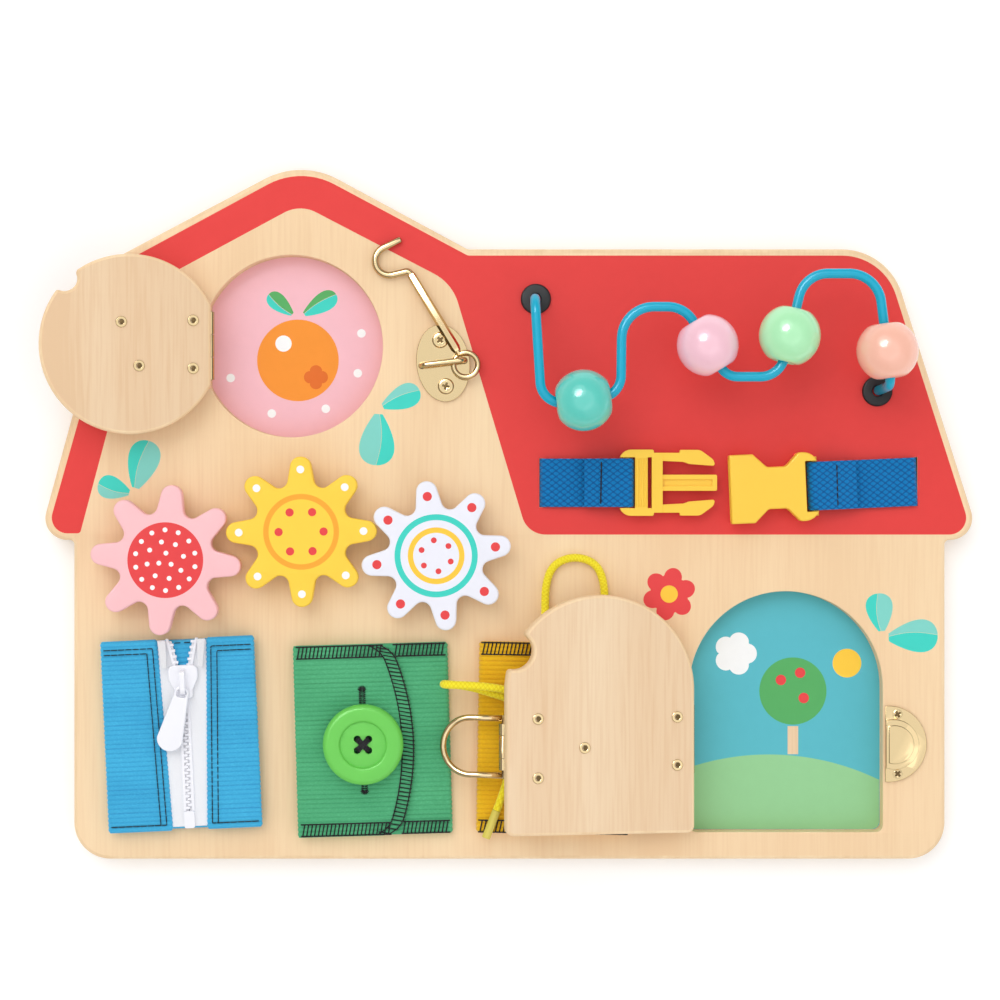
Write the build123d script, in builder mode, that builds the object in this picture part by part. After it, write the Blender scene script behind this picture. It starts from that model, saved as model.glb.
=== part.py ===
from build123d import *
from math import asin, atan2, cos, degrees, hypot, radians, sin, tan
import os

os.makedirs("parts", exist_ok=True)

# Toddler's busy board: a house-shaped wooden board that lies flat with its activities up.
# The origin is the centre of the board's back face; X runs along the base, Y up the house.

# board ---------------------------------------------------------------------------------
board_width = 360.0
board_height = 285.0
front_thickness = 8.0
back_thickness = 3.0
eave_overhang = 14.8
eave_height = 131.9
eave_round = 9.0
eave_inner_round = 2.0
base_round = 15.0
ridge_drop = 32.9
gable_inset = 93.9
gable_pitch = 28.15
gable_round = 32.0
valley_round = 3.0
left_shoulder_drop = 3.6
left_shoulder_round = 8.0
right_shoulder_inset = 38.3
right_shoulder_round = 26.0
edge_round = 1.5
fit_gap = 0.05

# windows and doors ---------------------------------------------------------------------
door_gap = 1.0
door_lift = 0.5
round_window_x = -90.0
round_window_y = 69.5
round_window_radius = 37.7
round_window_reach = 33.3
round_door_tilt = 10.5
arch_window_x = 114.3
arch_window_y = -71.8
arch_window_radius = 40.0
arch_window_drop = 59.5
window_corner = 3.0
arch_door_tilt = 9.3
door_edge_round = 1.2
round_notch_radius = 5.4
round_notch_angle = 45.0
round_notch_lip = 1.4
arch_notch_radius = 7.6
arch_notch_angle = 25.0
arch_notch_lip = 1.6

# butt hinges ---------------------------------------------------------------------------
hinge_length = 28.0
hinge_leaf_width = 11.6
hinge_leaf_thickness = 1.0
hinge_barrel_radius = 1.6
hinge_pin_radius = 0.8
hinge_pin_overhang = 0.4
hinge_play = 0.2
hinge_screw_reach = 7.8
hinge_screw_spacing = 19.6
arch_hinge_y = -92.6

# screws and sleeve nuts ----------------------------------------------------------------
screw_radius = 1.0
screw_length = 6.0
screw_head_radius = 2.2
screw_head_height = 0.5
plate_screw_radius = 1.2
plate_screw_head_radius = 3.0
plate_screw_head_height = 0.5
sleeve_nut_radius = 1.7
sleeve_nut_depth = 4.5
sleeve_flange_radius = 2.3
sleeve_flange_height = 0.4
back_screw_radius = 1.6
back_screw_head_radius = 3.2
back_screw_length = 9.0
back_screw_inset = 11.0

# hook, eye plates and their wire arches ------------------------------------------------
eye_plate_width = 22.0
eye_plate_length = 32.0
eye_plate_thickness = 1.0
eye_plate_screw_spacing = 19.2
hook_plate_x = -27.4
hook_plate_y = 62.4
hook_plate_turn = 7.0
door_eye_turn = -22.0
arch_wire_radius = 1.2
arch_half_span = 8.85
arch_clear_height = 4.4
arch_leg_depth = 3.0
ring_radius = 5.05
ring_wire_radius = 1.15
ring_height = 4.0
ring_off_leg_x = 0.6
ring_off_leg_y = -1.9
hook_wire_radius = 1.25
hook_shaft_length = 45.4
hook_shaft_radius = 1.7
hook_turn = 121.2
hook_dip = 2.4

# hasp, its loop and the half-moon keeper -----------------------------------------------
hasp_thickness = 1.0
hasp_barrel_radius = 2.0
hasp_barrel_lift = 2.6
hasp_barrel_length = 19.0
hasp_pin_reach = 78.1
hasp_plate_length = 36.0
hasp_plate_width = 30.0
hasp_screw_spacing = 24.0
hasp_screw_near = 12.5
hasp_screw_far = 31.8
hasp_y = -94.85
loop_length = 27.0
loop_width = 26.0
loop_wire_radius = 1.3
loop_droop = 24.0
keeper_x = 155.2
keeper_height = 31.3
keeper_depth = 17.1
keeper_thickness = 1.0
keeper_boss_height = 19.4
keeper_boss_depth = 13.5
keeper_boss_rise = 3.0
keeper_step_inset = 2.2
keeper_step_rise = 0.8
keeper_screw_spacing = 24.6
keeper_screw_reach = 5.1

# gears ---------------------------------------------------------------------------------
gear_lobes = 8
gear_tip_reach = 30.8
gear_lobe_round = 3.7
gear_lobe_taper = 15.0
gear_valley_round = 3.1
gear_thickness = 7.5
gear_standoff = 4.5
gear_edge_round = 0.8
gear_axle_radius = 2.5
gear_axle_grip = 5.0
axle_head_radius = 5.0
axle_head_height = 1.4
spacer_radius = 6.0
pocket_radius = 6.5
pocket_depth = 2.2
pink_gear_x, pink_gear_y, pink_gear_turn = -140.7, -18.7, 84.8
yellow_gear_x, yellow_gear_y, yellow_gear_turn = -85.2, -7.1, 0.7
white_gear_x, white_gear_y, white_gear_turn = -30.0, -16.9, 98.5

# bead wire -----------------------------------------------------------------------------
maze_wire_radius = 2.0
maze_wire_height = 27.0
maze_riser_bend = 7.0
grommet_radius = 6.25
grommet_flange = 1.6
grommet_body_radius = 4.5
grommet_play = 0.75
push_nut_radius = 5.0
push_nut_thickness = 1.0
bead_radius = 12.5
bead_bore_radius = 4.2
bead_length = 22.0
bead_mouth_round = 1.0

# webbing straps and side-release buckle ------------------------------------------------
strap_width = 20.0
strap_thickness = 1.4
strap_fold_gap = 0.2
strap_tail_length = 12.0
strap_fold_length = 18.0
strap_stitch_inset = 15.0
strap_stitch_width = 2.0
buckle_bar_radius = 1.3
male_x, male_y, male_turn = 45.0, 13.0, 0.0
male_length = 39.5
male_width = 27.2
male_thickness = 5.0
male_frame_length = 14.3
male_rib_bar_x = 6.6
male_rib_bar_width = 5.1
male_cross_bar_width = 3.6
male_arm_thickness = 3.15
male_arm_outer = 12.3
male_barb_x = 25.0
male_barb_inner = 6.9
male_barb_outer = 13.5
male_prong_width = 6.6
male_groove_width = 2.8
male_rib_count = 5
female_x, female_y, female_turn = 90.6, 10.1, 2.5
female_length = 36.6
female_width = 28.3
female_thickness = 8.4
female_wall = 1.4
female_mouth_length = 9.7
female_waist_width = 17.3
female_waist_start = 15.4
female_waist_end = 23.2
female_flare_end = 28.4
female_cavity_length = 24.0
female_cavity_half_width = 12.6
female_slot_start = 31.0
left_slot_x = 13.3
right_slot_x = 167.6

# fabric sleeves ------------------------------------------------------------------------
band_width = 63.5
band_height = 79.0
cloth = 1.2
band_rest_gap = 0.3
blue_x, blue_y, blue_turn = -135.0, -90.5, 2.6
green_x, green_y, green_turn = -56.1, -92.8, 1.6
mustard_x, mustard_y, mustard_turn = 18.5, -92.1, -1.0
blue_space = 3.4
green_space = 0.8
mustard_space = 3.4
flap_top_reach = -1.9
flap_bulge = 16.7
flap_bottom_reach = 3.2

# zip -----------------------------------------------------------------------------------
zip_off_centre = 1.9
zip_slot_top = 20.0
zip_slot_bottom = 13.8
tape_thickness = 0.7
tape_half_width = 12.5
tooth_thickness = 2.4
tooth_reach = 2.3
tooth_overlap = 0.35
tooth_pitch = 2.4
tooth_width = 1.0
zip_part_angle = 13.0
slider_top = 28.5
slider_length = 13.7
slider_width = 12.2
slider_foot_width = 7.6
slider_plate = 1.1
slider_air = 0.25
crown_length = 11.0
crown_width = 2.0
crown_rise = 3.6
crown_thickness = 1.1
crown_leg = 1.2
pull_length = 27.2
pull_thickness = 1.5
pull_end_radius = 5.4
pull_neck_radius = 3.0
pull_bar = 1.5
pull_hole_width = 4.0
pull_hole_length = 3.0
pull_play = 0.9
pull_lean = 17.0
pull_end_hole_radius = 2.4
pull_edge_round = 0.4
stop_length = 7.0
stop_width = 5.2

# button --------------------------------------------------------------------------------
button_x, button_y = -60.0, -94.3
button_radius = 16.5
button_thickness = 5.0
button_well_radius = 9.4
button_well_depth = 1.3
button_hole_radius = 1.45
button_hole_reach = 3.3
button_air = 1.9
thread_radius = 0.7
shank_radius = 1.6

# lace ----------------------------------------------------------------------------------
lace_radius = 1.65
eyelet_radius = 5.0
eyelet_bore_radius = 3.55
eyelet_flange = 0.5
eyelet_barrel = 0.9
eyelet_half_span = 9.5
eyelet_rows = (20.0, 2.0, -18.0)
knot_y = 17.0
knot_width = 10.0
knot_length = 10.0
knot_height = 4.6
knot_low = 6.6
lace_top = 8.1
lace_under = 3.0
lace_lean = 0.9
lace_crown = 0.4
lace_sway = 0.8
aglet_radius = 1.75
aglet_length = 12.0

# derived levels ------------------------------------------------------------------------
board_top = back_thickness + front_thickness
base_y = -board_height / 2
eave_y = base_y + eave_height
ridge_y = board_height / 2 - ridge_drop
gable_x = -board_width / 2 + gable_inset
right_shoulder_x = board_width / 2 + eave_overhang - right_shoulder_inset
gable_y = board_height / 2 + gable_round * (1 / cos(radians(gable_pitch)) - 1)
shoulder_y = ridge_y - left_shoulder_drop
gable_run = 1 / tan(radians(gable_pitch))
hinge_lift = hinge_barrel_radius + hinge_play / 2
hinge_z = board_top + hinge_lift
door_thickness = front_thickness - door_lift
round_axis_x = round_window_x - round_window_reach
arch_axis_x = arch_window_x - arch_window_radius + door_gap / 2


def finish(piece, name):
    piece.label = name
    export_step(piece, f"parts/{name}.step")
    return piece


def swung_plane(axis_x, open_angle):
    # the plane of a door about its hinge axis: local X runs out from the axis, as when shut
    turn = radians(open_angle)
    return Plane(
        origin=(axis_x, 0, hinge_z), x_dir=(cos(turn), 0, sin(turn)), z_dir=(-sin(turn), 0, cos(turn))
    )


def turned_plane(x, y, z, turn):
    return Plane(origin=(x, y, z), x_dir=(cos(radians(turn)), sin(radians(turn)), 0), z_dir=(0, 0, 1))


def local_plane(plane, x, y, z=0, turn=0):
    # a plane parallel to another, moved and turned within it
    spun = Plane(plane.location * Location((x, y, z), (0, 0, turn)))
    return spun


def side_plane(plane):
    # looks along the given plane's Y: local X is kept, local Y is its normal turned over
    return Plane(origin=plane.origin, x_dir=plane.x_dir, z_dir=plane.y_dir)


def upright_plane(plane):
    # stands on the given plane: local X is kept, local Y is its normal
    return Plane(origin=plane.origin, x_dir=plane.x_dir, z_dir=-plane.y_dir)


round_swing = swung_plane(round_axis_x, 180 - round_door_tilt)
arch_swing = swung_plane(arch_axis_x, 180 - arch_door_tilt)


def board_outline():
    half = board_width / 2
    eave_x = half + eave_overhang
    corners = [
        ((-half, base_y), base_round),
        ((half, base_y), base_round),
        ((half, eave_y), eave_inner_round),
        ((eave_x, eave_y), eave_round),
        ((right_shoulder_x, ridge_y), right_shoulder_round),
        ((gable_x + (gable_y - ridge_y) * gable_run, ridge_y), valley_round),
        ((gable_x, gable_y), gable_round),
        ((gable_x - (gable_y - shoulder_y) * gable_run, shoulder_y), left_shoulder_round),
        ((-eave_x, eave_y), eave_round),
        ((-half, eave_y), eave_inner_round),
    ]
    with BuildSketch(mode=Mode.PRIVATE) as shape:
        with BuildLine():
            FilletPolyline(*[at for at, _ in corners], radius=[r for _, r in corners], close=True)
        make_face()
    return shape.sketch


def disc(seat, radius):
    with BuildSketch(seat, mode=Mode.PRIVATE) as shape:
        Circle(radius)
    return shape.sketch


def round_opening(x, y, radius, flat):
    # a disc with a flat chord on its hinge side
    with BuildSketch(mode=Mode.PRIVATE) as shape:
        with Locations((x, y)):
            Circle(radius)
        with Locations((x - flat - radius, y)):
            Rectangle(2 * radius, 2 * radius, mode=Mode.SUBTRACT)
        fillet(shape.vertices(), window_corner)
    return shape.sketch


def arched_opening(x, y, radius, drop):
    # a half round over a rectangle
    with BuildSketch(mode=Mode.PRIVATE) as shape:
        with Locations((x, y)):
            Circle(radius)
        with Locations((x, y - drop / 2)):
            Rectangle(2 * radius, drop)
        fillet(shape.vertices().group_by(Axis.Y)[0], window_corner)
    return shape.sketch


# places of the fasteners and fixings ---------------------------------------------------
board_leaf_round = Plane(
    origin=(round_axis_x, round_window_y, hinge_z), x_dir=(-1, 0, 0), z_dir=(0, 0, 1)
)
board_leaf_arch = Plane(origin=(arch_axis_x, arch_hinge_y, hinge_z), x_dir=(-1, 0, 0), z_dir=(0, 0, 1))
door_leaf_round = local_plane(round_swing, 0, round_window_y)
door_leaf_arch = local_plane(arch_swing, 0, arch_hinge_y)
hook_plate_plane = turned_plane(hook_plate_x, hook_plate_y, board_top, hook_plate_turn)
door_eye_plane = local_plane(round_swing, round_window_reach, round_window_y, -hinge_lift, door_eye_turn)
hasp_plane = local_plane(arch_swing, hasp_pin_reach, hasp_y, -hinge_lift)
keeper_plane = Plane(origin=(keeper_x, hasp_y, board_top))
gear_planes = {
    "pink": turned_plane(pink_gear_x, pink_gear_y, board_top + gear_standoff, pink_gear_turn),
    "yellow": turned_plane(yellow_gear_x, yellow_gear_y, board_top + gear_standoff, yellow_gear_turn),
    "white": turned_plane(white_gear_x, white_gear_y, board_top + gear_standoff, white_gear_turn),
}


def hinge_seats(leaf_plane):
    # where the two screws of a hinge leaf bear, on the leaf's outer face
    lift = hinge_leaf_thickness - hinge_lift
    return [
        local_plane(leaf_plane, hinge_screw_reach, side * hinge_screw_spacing / 2, lift)
        for side in (-1, 1)
    ]


def eye_plate_seats(plate_plane):
    reach = eye_plate_screw_spacing / 2
    return [local_plane(plate_plane, 0, side * reach, eye_plate_thickness) for side in (-1, 1)]


def leg_places(plate_plane):
    return [local_plane(plate_plane, side * arch_half_span, 0) for side in (-1, 1)]


keeper_seats = [
    local_plane(keeper_plane, keeper_screw_reach, side * keeper_screw_spacing / 2, keeper_thickness)
    for side in (-1, 1)
]
hasp_seats = [
    local_plane(hasp_plane, -hasp_screw_near, side * hasp_screw_spacing / 2, hasp_thickness)
    for side in (-1, 1)
] + [local_plane(hasp_plane, -hasp_screw_far, 0, hasp_thickness)]

# The bead wire's corners in plan, with the radius of each bend.
maze_left = (10.9, 88.9)
maze_right = (151.9, 50.8)
maze_corners = [
    ((10.2, 87.3), maze_riser_bend),
    ((12.9, 43.6), 9.0),
    ((44.8, 48.3), 9.0),
    ((45.3, 83.8), 13.0),
    ((70.5, 83.8), 12.0),
    ((87.4, 55.6), 8.0),
    ((108.9, 55.6), 10.0),
    ((118.9, 97.2), 12.0),
    ((148.3, 97.2), 13.0),
    ((154.0, 52.3), maze_riser_bend),
]
# Each bead: the run of the wire that it is on, and how far along it.
bead_places = {"teal": (1, 0.53), "pink": (4, 0.55), "green": (6, 0.40), "peach": (8, 0.695)}

# front board ---------------------------------------------------------------------------
left_strap_plane = turned_plane(left_slot_x, male_y, board_top, male_turn)
right_strap_y = female_y + (right_slot_x - female_x) * tan(radians(female_turn))
right_strap_plane = turned_plane(right_slot_x, right_strap_y, board_top, 180 + female_turn)
slot_half_width = strap_width / 2 + 0.6
back_screw_places = [
    (side * (board_width / 2 - back_screw_inset), y)
    for side in (-1, 1)
    for y in (base_y + back_screw_inset, eave_y - back_screw_inset)
] + [
    (gable_x, board_height / 2 - 1.6 * back_screw_inset),
    (0, base_y + back_screw_inset),
    (gable_x + (gable_y - ridge_y) * gable_run + back_screw_inset, ridge_y - back_screw_inset),
    (right_shoulder_x - 2 * back_screw_inset, ridge_y - back_screw_inset),
]

with BuildPart() as front_board:
    with BuildSketch(Plane.XY.offset(back_thickness)):
        add(board_outline())
    extrude(amount=front_thickness)
    fillet(front_board.faces().sort_by(Axis.Z)[-1].outer_wire().edges(), edge_round)
    with BuildSketch(Plane.XY.offset(back_thickness)):
        add(
            round_opening(
                round_window_x, round_window_y, round_window_radius, round_window_reach + door_gap / 2
            )
        )
        add(arched_opening(arch_window_x, arch_window_y, arch_window_radius, arch_window_drop))
    extrude(amount=front_thickness, mode=Mode.SUBTRACT)
    # pilot holes for the hinges, the hook plate, the keeper and the arch's legs
    for seats, radius in (
        (hinge_seats(board_leaf_round) + hinge_seats(board_leaf_arch) + keeper_seats, screw_radius),
        (eye_plate_seats(hook_plate_plane), plate_screw_radius),
    ):
        for seat in seats:
            extrude(disc(seat, radius + fit_gap), amount=-screw_length - fit_gap, mode=Mode.SUBTRACT)
    for leg in leg_places(hook_plate_plane):
        extrude(disc(leg, arch_wire_radius + fit_gap), amount=-arch_leg_depth - fit_gap, mode=Mode.SUBTRACT)
    # axle holes and grommet holes, with pockets behind for the heads and nuts
    with BuildSketch(Plane.XY.offset(back_thickness)):
        for plane in gear_planes.values():
            with Locations((plane.origin.X, plane.origin.Y)):
                Circle(gear_axle_radius + fit_gap)
        with Locations(maze_left, maze_right):
            Circle(grommet_body_radius + fit_gap)
    extrude(amount=front_thickness, mode=Mode.SUBTRACT)
    with BuildSketch(Plane.XY.offset(back_thickness)):
        for plane in gear_planes.values():
            with Locations((plane.origin.X, plane.origin.Y)):
                Circle(pocket_radius)
        with Locations(maze_left, maze_right):
            Circle(pocket_radius)
    extrude(amount=pocket_depth, mode=Mode.SUBTRACT)
    # strap slots, with a shallow recess behind for each stapled tail
    for plane in (left_strap_plane, right_strap_plane):
        with BuildSketch(plane):
            Rectangle(strap_thickness + 0.6, 2 * slot_half_width)
        extrude(amount=-front_thickness, mode=Mode.SUBTRACT)
        with BuildSketch(plane.offset(-front_thickness)):
            with Locations((-strap_tail_length / 2, 0)):
                Rectangle(strap_tail_length + strap_thickness + 0.6, 2 * slot_half_width)
        extrude(amount=strap_thickness + 0.4, mode=Mode.SUBTRACT)
    with BuildSketch(Plane.XY.offset(back_thickness)):
        with Locations(*back_screw_places):
            Circle(back_screw_radius + fit_gap)
    extrude(amount=back_screw_length - back_thickness + fit_gap, mode=Mode.SUBTRACT)
finish(front_board.part, "front_board")

with BuildPart() as back_board:
    with BuildSketch():
        add(board_outline())
    extrude(amount=back_thickness)
    chamfer(back_board.faces().sort_by(Axis.Z)[0].outer_wire().edges(), 0.6)
    with Locations(*[(x, y, 0) for x, y in back_screw_places]):
        with Locations(Rotation(180, 0, 0)):
            CounterSinkHole(
                back_screw_radius + fit_gap, back_screw_head_radius + fit_gap, back_thickness, 90
            )
finish(back_board.part, "back_board")

with BuildPart() as back_screws:
    for x, y in back_screw_places:
        with BuildSketch(Plane.XZ.offset(-y)) as half:
            with BuildLine():
                drop = back_screw_head_radius - back_screw_radius
                Polyline(
                    (x, 0),
                    (x + back_screw_head_radius, 0),
                    (x + back_screw_radius, drop),
                    (x + back_screw_radius, back_screw_length),
                    (x, back_screw_length),
                    close=True,
                )
            make_face()
        revolve(axis=Axis((x, y, 0), (0, 0, 1)))
finish(back_screws.part, "back_screws")

# hinges --------------------------------------------------------------------------------
knuckle_length = (hinge_length - 2 * hinge_play) / 3


def hinge_leaf(plane, knuckle_centres):
    # a flat leaf set back from the barrel, and the knuckles that it curls into
    setback = hinge_barrel_radius + hinge_play
    profile = side_plane(plane)
    with BuildPart() as leaf:
        with BuildSketch(plane.offset(-hinge_lift)):
            with Locations(((setback + hinge_leaf_width) / 2, 0)):
                Rectangle(hinge_leaf_width - setback, hinge_length)
        extrude(amount=hinge_leaf_thickness)
        corners = leaf.edges().filter_by(lambda e: abs(e.tangent_at(0).dot(plane.z_dir)) > 0.9)
        outer = corners.sort_by(lambda e: -plane.to_local_coords(e.center()).X)[:2]
        fillet(outer, 1.5)
        for centre in knuckle_centres:
            with BuildSketch(profile.offset(centre - knuckle_length / 2)):
                Circle(hinge_barrel_radius)
                with Locations((setback / 2 + 0.1, hinge_lift - hinge_leaf_thickness / 2)):
                    Rectangle(setback + 0.2, hinge_leaf_thickness)
            extrude(amount=knuckle_length)
        with BuildSketch(profile.offset(-hinge_length)):
            Circle(hinge_pin_radius + fit_gap)
        extrude(amount=2 * hinge_length, mode=Mode.SUBTRACT)
        for seat in hinge_seats(plane):
            extrude(disc(seat, screw_radius + fit_gap), amount=-hinge_leaf_thickness, mode=Mode.SUBTRACT)
    return leaf.part


knuckle_step = knuckle_length + hinge_play
finish(hinge_leaf(board_leaf_round, (-knuckle_step, knuckle_step)), "round_hinge_board_leaf")
finish(hinge_leaf(board_leaf_arch, (-knuckle_step, knuckle_step)), "arched_hinge_board_leaf")
finish(hinge_leaf(door_leaf_round, (0,)), "round_hinge_door_leaf")
finish(hinge_leaf(door_leaf_arch, (0,)), "arched_hinge_door_leaf")

with BuildPart() as hinge_pins:
    for plane in (board_leaf_round, board_leaf_arch):
        with BuildSketch(side_plane(plane).offset(-hinge_length / 2 - hinge_pin_overhang)):
            Circle(hinge_pin_radius)
        extrude(amount=hinge_length + 2 * hinge_pin_overhang)
finish(hinge_pins.part, "hinge_pins")


# screws --------------------------------------------------------------------------------
def add_screw(seat, head_radius, head_height, radius, length):
    extrude(disc(seat, head_radius), amount=head_height)
    extrude(disc(seat, radius), amount=-length)


with BuildPart() as brass_screws:
    for seat in hinge_seats(board_leaf_round) + hinge_seats(board_leaf_arch):
        add_screw(seat, screw_head_radius, screw_head_height, screw_radius, screw_length)
    for seat in keeper_seats:
        add_screw(seat, screw_head_radius, fit_gap, screw_radius, screw_length)
    for seat in eye_plate_seats(hook_plate_plane):
        add_screw(
            seat, plate_screw_head_radius, plate_screw_head_height, plate_screw_radius, screw_length
        )
finish(brass_screws.part, "brass_screws")


def add_sleeve_nut(seat):
    # a flanged sleeve let into the door's inner face, open through its middle
    extrude(disc(seat, sleeve_flange_radius), amount=sleeve_flange_height)
    extrude(disc(seat, sleeve_nut_radius), amount=-sleeve_nut_depth)
    bore = disc(seat.offset(sleeve_flange_height), screw_radius + fit_gap)
    extrude(bore, amount=-sleeve_nut_depth - sleeve_flange_height, mode=Mode.SUBTRACT)


def nut_seat(seat, plate):
    # the point of the door's inner face straight behind a screw's seat
    behind = seat.offset(-plate - door_thickness)
    return Plane(origin=behind.origin, x_dir=behind.x_dir, z_dir=-behind.z_dir)


def drill_for(seats, plate):
    # clearance through the door for the screws, wider where the sleeve nuts sit
    for seat in seats:
        through = plate + door_thickness
        extrude(disc(seat, screw_radius + 2 * fit_gap), amount=-through, mode=Mode.SUBTRACT)
        well = disc(nut_seat(seat, plate), sleeve_nut_radius + fit_gap)
        extrude(well, amount=-sleeve_nut_depth - fit_gap, mode=Mode.SUBTRACT)


door_screw_length = door_thickness - sleeve_flange_height
round_door_seats = hinge_seats(door_leaf_round) + eye_plate_seats(door_eye_plane)
arch_door_seats = hinge_seats(door_leaf_arch) + hasp_seats

# round door ----------------------------------------------------------------------------
round_door_radius = round_window_radius - door_gap
notch_out = round_door_radius + 0.16 * round_notch_radius
with BuildPart() as round_door:
    with BuildSketch(round_swing.offset(-hinge_lift)) as face:
        add(
            round_opening(
                round_window_reach, round_window_y, round_door_radius, round_window_reach - door_gap / 2
            )
        )
        notch = (
            round_window_reach + notch_out * cos(radians(round_notch_angle)),
            round_window_y + notch_out * sin(radians(round_notch_angle)),
        )
        with Locations(notch):
            Circle(round_notch_radius, mode=Mode.SUBTRACT)
        fillet(face.vertices().sort_by_distance(notch)[0:2], round_notch_lip)
    extrude(amount=-door_thickness)
    fillet(round_door.faces().sort_by(lambda f: -f.area)[0:2].edges(), door_edge_round)
    drill_for(round_door_seats, hinge_leaf_thickness)
    for leg in leg_places(door_eye_plane):
        extrude(disc(leg, arch_wire_radius + fit_gap), amount=-arch_leg_depth - fit_gap, mode=Mode.SUBTRACT)
finish(round_door.part, "round_door")

# arched door ---------------------------------------------------------------------------
arch_door_radius = arch_window_radius - door_gap
arch_centre_reach = arch_window_x - arch_axis_x
with BuildPart() as arched_door:
    with BuildSketch(arch_swing.offset(-hinge_lift)) as face:
        add(
            arched_opening(
                arch_centre_reach, arch_window_y, arch_door_radius, arch_window_drop - door_gap
            )
        )
        notch = (
            arch_centre_reach + arch_door_radius * cos(radians(arch_notch_angle)),
            arch_window_y + arch_door_radius * sin(radians(arch_notch_angle)),
        )
        with Locations(notch):
            Circle(arch_notch_radius, mode=Mode.SUBTRACT)
        fillet(face.vertices().sort_by_distance(notch)[0:2], arch_notch_lip)
    extrude(amount=-door_thickness)
    fillet(arched_door.faces().sort_by(lambda f: -f.area)[0:2].edges(), door_edge_round)
    drill_for(arch_door_seats, hinge_leaf_thickness)
finish(arched_door.part, "arched_door")

for name, seats in (("round", round_door_seats), ("arched", arch_door_seats)):
    with BuildPart() as screws:
        for seat in seats:
            add_screw(seat, screw_head_radius, screw_head_height, screw_radius, door_screw_length)
    finish(screws.part, f"{name}_door_screws")
    with BuildPart() as nuts:
        for seat in seats:
            add_sleeve_nut(nut_seat(seat, hinge_leaf_thickness))
    finish(nuts.part, f"{name}_door_sleeve_nuts")


# hook and eye --------------------------------------------------------------------------
def eye_plate(plane, hole_radius):
    with BuildPart() as plate:
        with BuildSketch(plane):
            Ellipse(eye_plate_width / 2, eye_plate_length / 2)
        extrude(amount=eye_plate_thickness)
        for seat in eye_plate_seats(plane):
            extrude(disc(seat, hole_radius + fit_gap), amount=-eye_plate_thickness, mode=Mode.SUBTRACT)
        for leg in leg_places(plane):
            extrude(disc(leg, arch_wire_radius + fit_gap), amount=eye_plate_thickness, mode=Mode.SUBTRACT)
    return plate.part


def wire_arch(plane):
    # a round wire bent into a low staple, its legs let into the wood
    top = eye_plate_thickness + arch_clear_height + arch_wire_radius
    with BuildPart() as arch:
        with BuildLine(upright_plane(plane)) as bow:
            FilletPolyline(
                (-arch_half_span, -arch_leg_depth),
                (-arch_half_span, top),
                (arch_half_span, top),
                (arch_half_span, -arch_leg_depth),
                radius=2 * arch_wire_radius,
            )
        with BuildSketch(Plane(origin=bow.line @ 0, z_dir=bow.line % 0)):
            Circle(arch_wire_radius)
        sweep(path=bow.line)
    return arch.part


finish(eye_plate(hook_plate_plane, plate_screw_radius), "hook_plate")
finish(wire_arch(hook_plate_plane), "hook_arch")
finish(eye_plate(door_eye_plane, screw_radius), "door_eye_plate")
finish(wire_arch(door_eye_plane), "door_eye_arch")

# The hook lies in a plane that dips from its ring down to its tip on the board.
pivot = local_plane(hook_plate_plane, arch_half_span, 0).origin
hook_origin = (pivot.X + ring_off_leg_x, pivot.Y + ring_off_leg_y, board_top + ring_height)
aim, dip = radians(hook_turn), radians(hook_dip)
hook_plane = Plane(
    origin=hook_origin,
    x_dir=(cos(aim) * cos(dip), sin(aim) * cos(dip), -sin(dip)),
    z_dir=(cos(aim) * sin(dip), sin(aim) * sin(dip), cos(dip)),
)
with BuildPart() as hook:
    with BuildSketch(Plane(origin=hook_plane.origin, x_dir=hook_plane.x_dir, z_dir=hook_plane.y_dir)):
        with Locations((ring_radius, 0)):
            Circle(ring_wire_radius)
    revolve(axis=Axis(hook_plane.origin, hook_plane.z_dir))
    with BuildLine(hook_plane) as stem:
        FilletPolyline(
            (ring_radius, 0),
            (hook_shaft_length, 0),
            (hook_shaft_length + 4.3, 13.6),
            (hook_shaft_length + 14.1, 7.7),
            (hook_shaft_length + 12.9, -3.5),
            radius=(2.0, 5.9, 5.9),
        )
    with BuildSketch(Plane(origin=stem.line @ 0, z_dir=stem.line % 0)):
        Circle(hook_wire_radius)
    sweep(path=stem.line)
    shaft_start = Plane(
        origin=hook_plane.from_local_coords((ring_radius + 2.5, 0, 0)),
        x_dir=hook_plane.z_dir,
        z_dir=hook_plane.x_dir,
    )
    with BuildSketch(shaft_start):
        RegularPolygon(hook_shaft_radius, 6)
    extrude(amount=hook_shaft_length - ring_radius - 4.5)
finish(hook.part, "hook")

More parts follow.
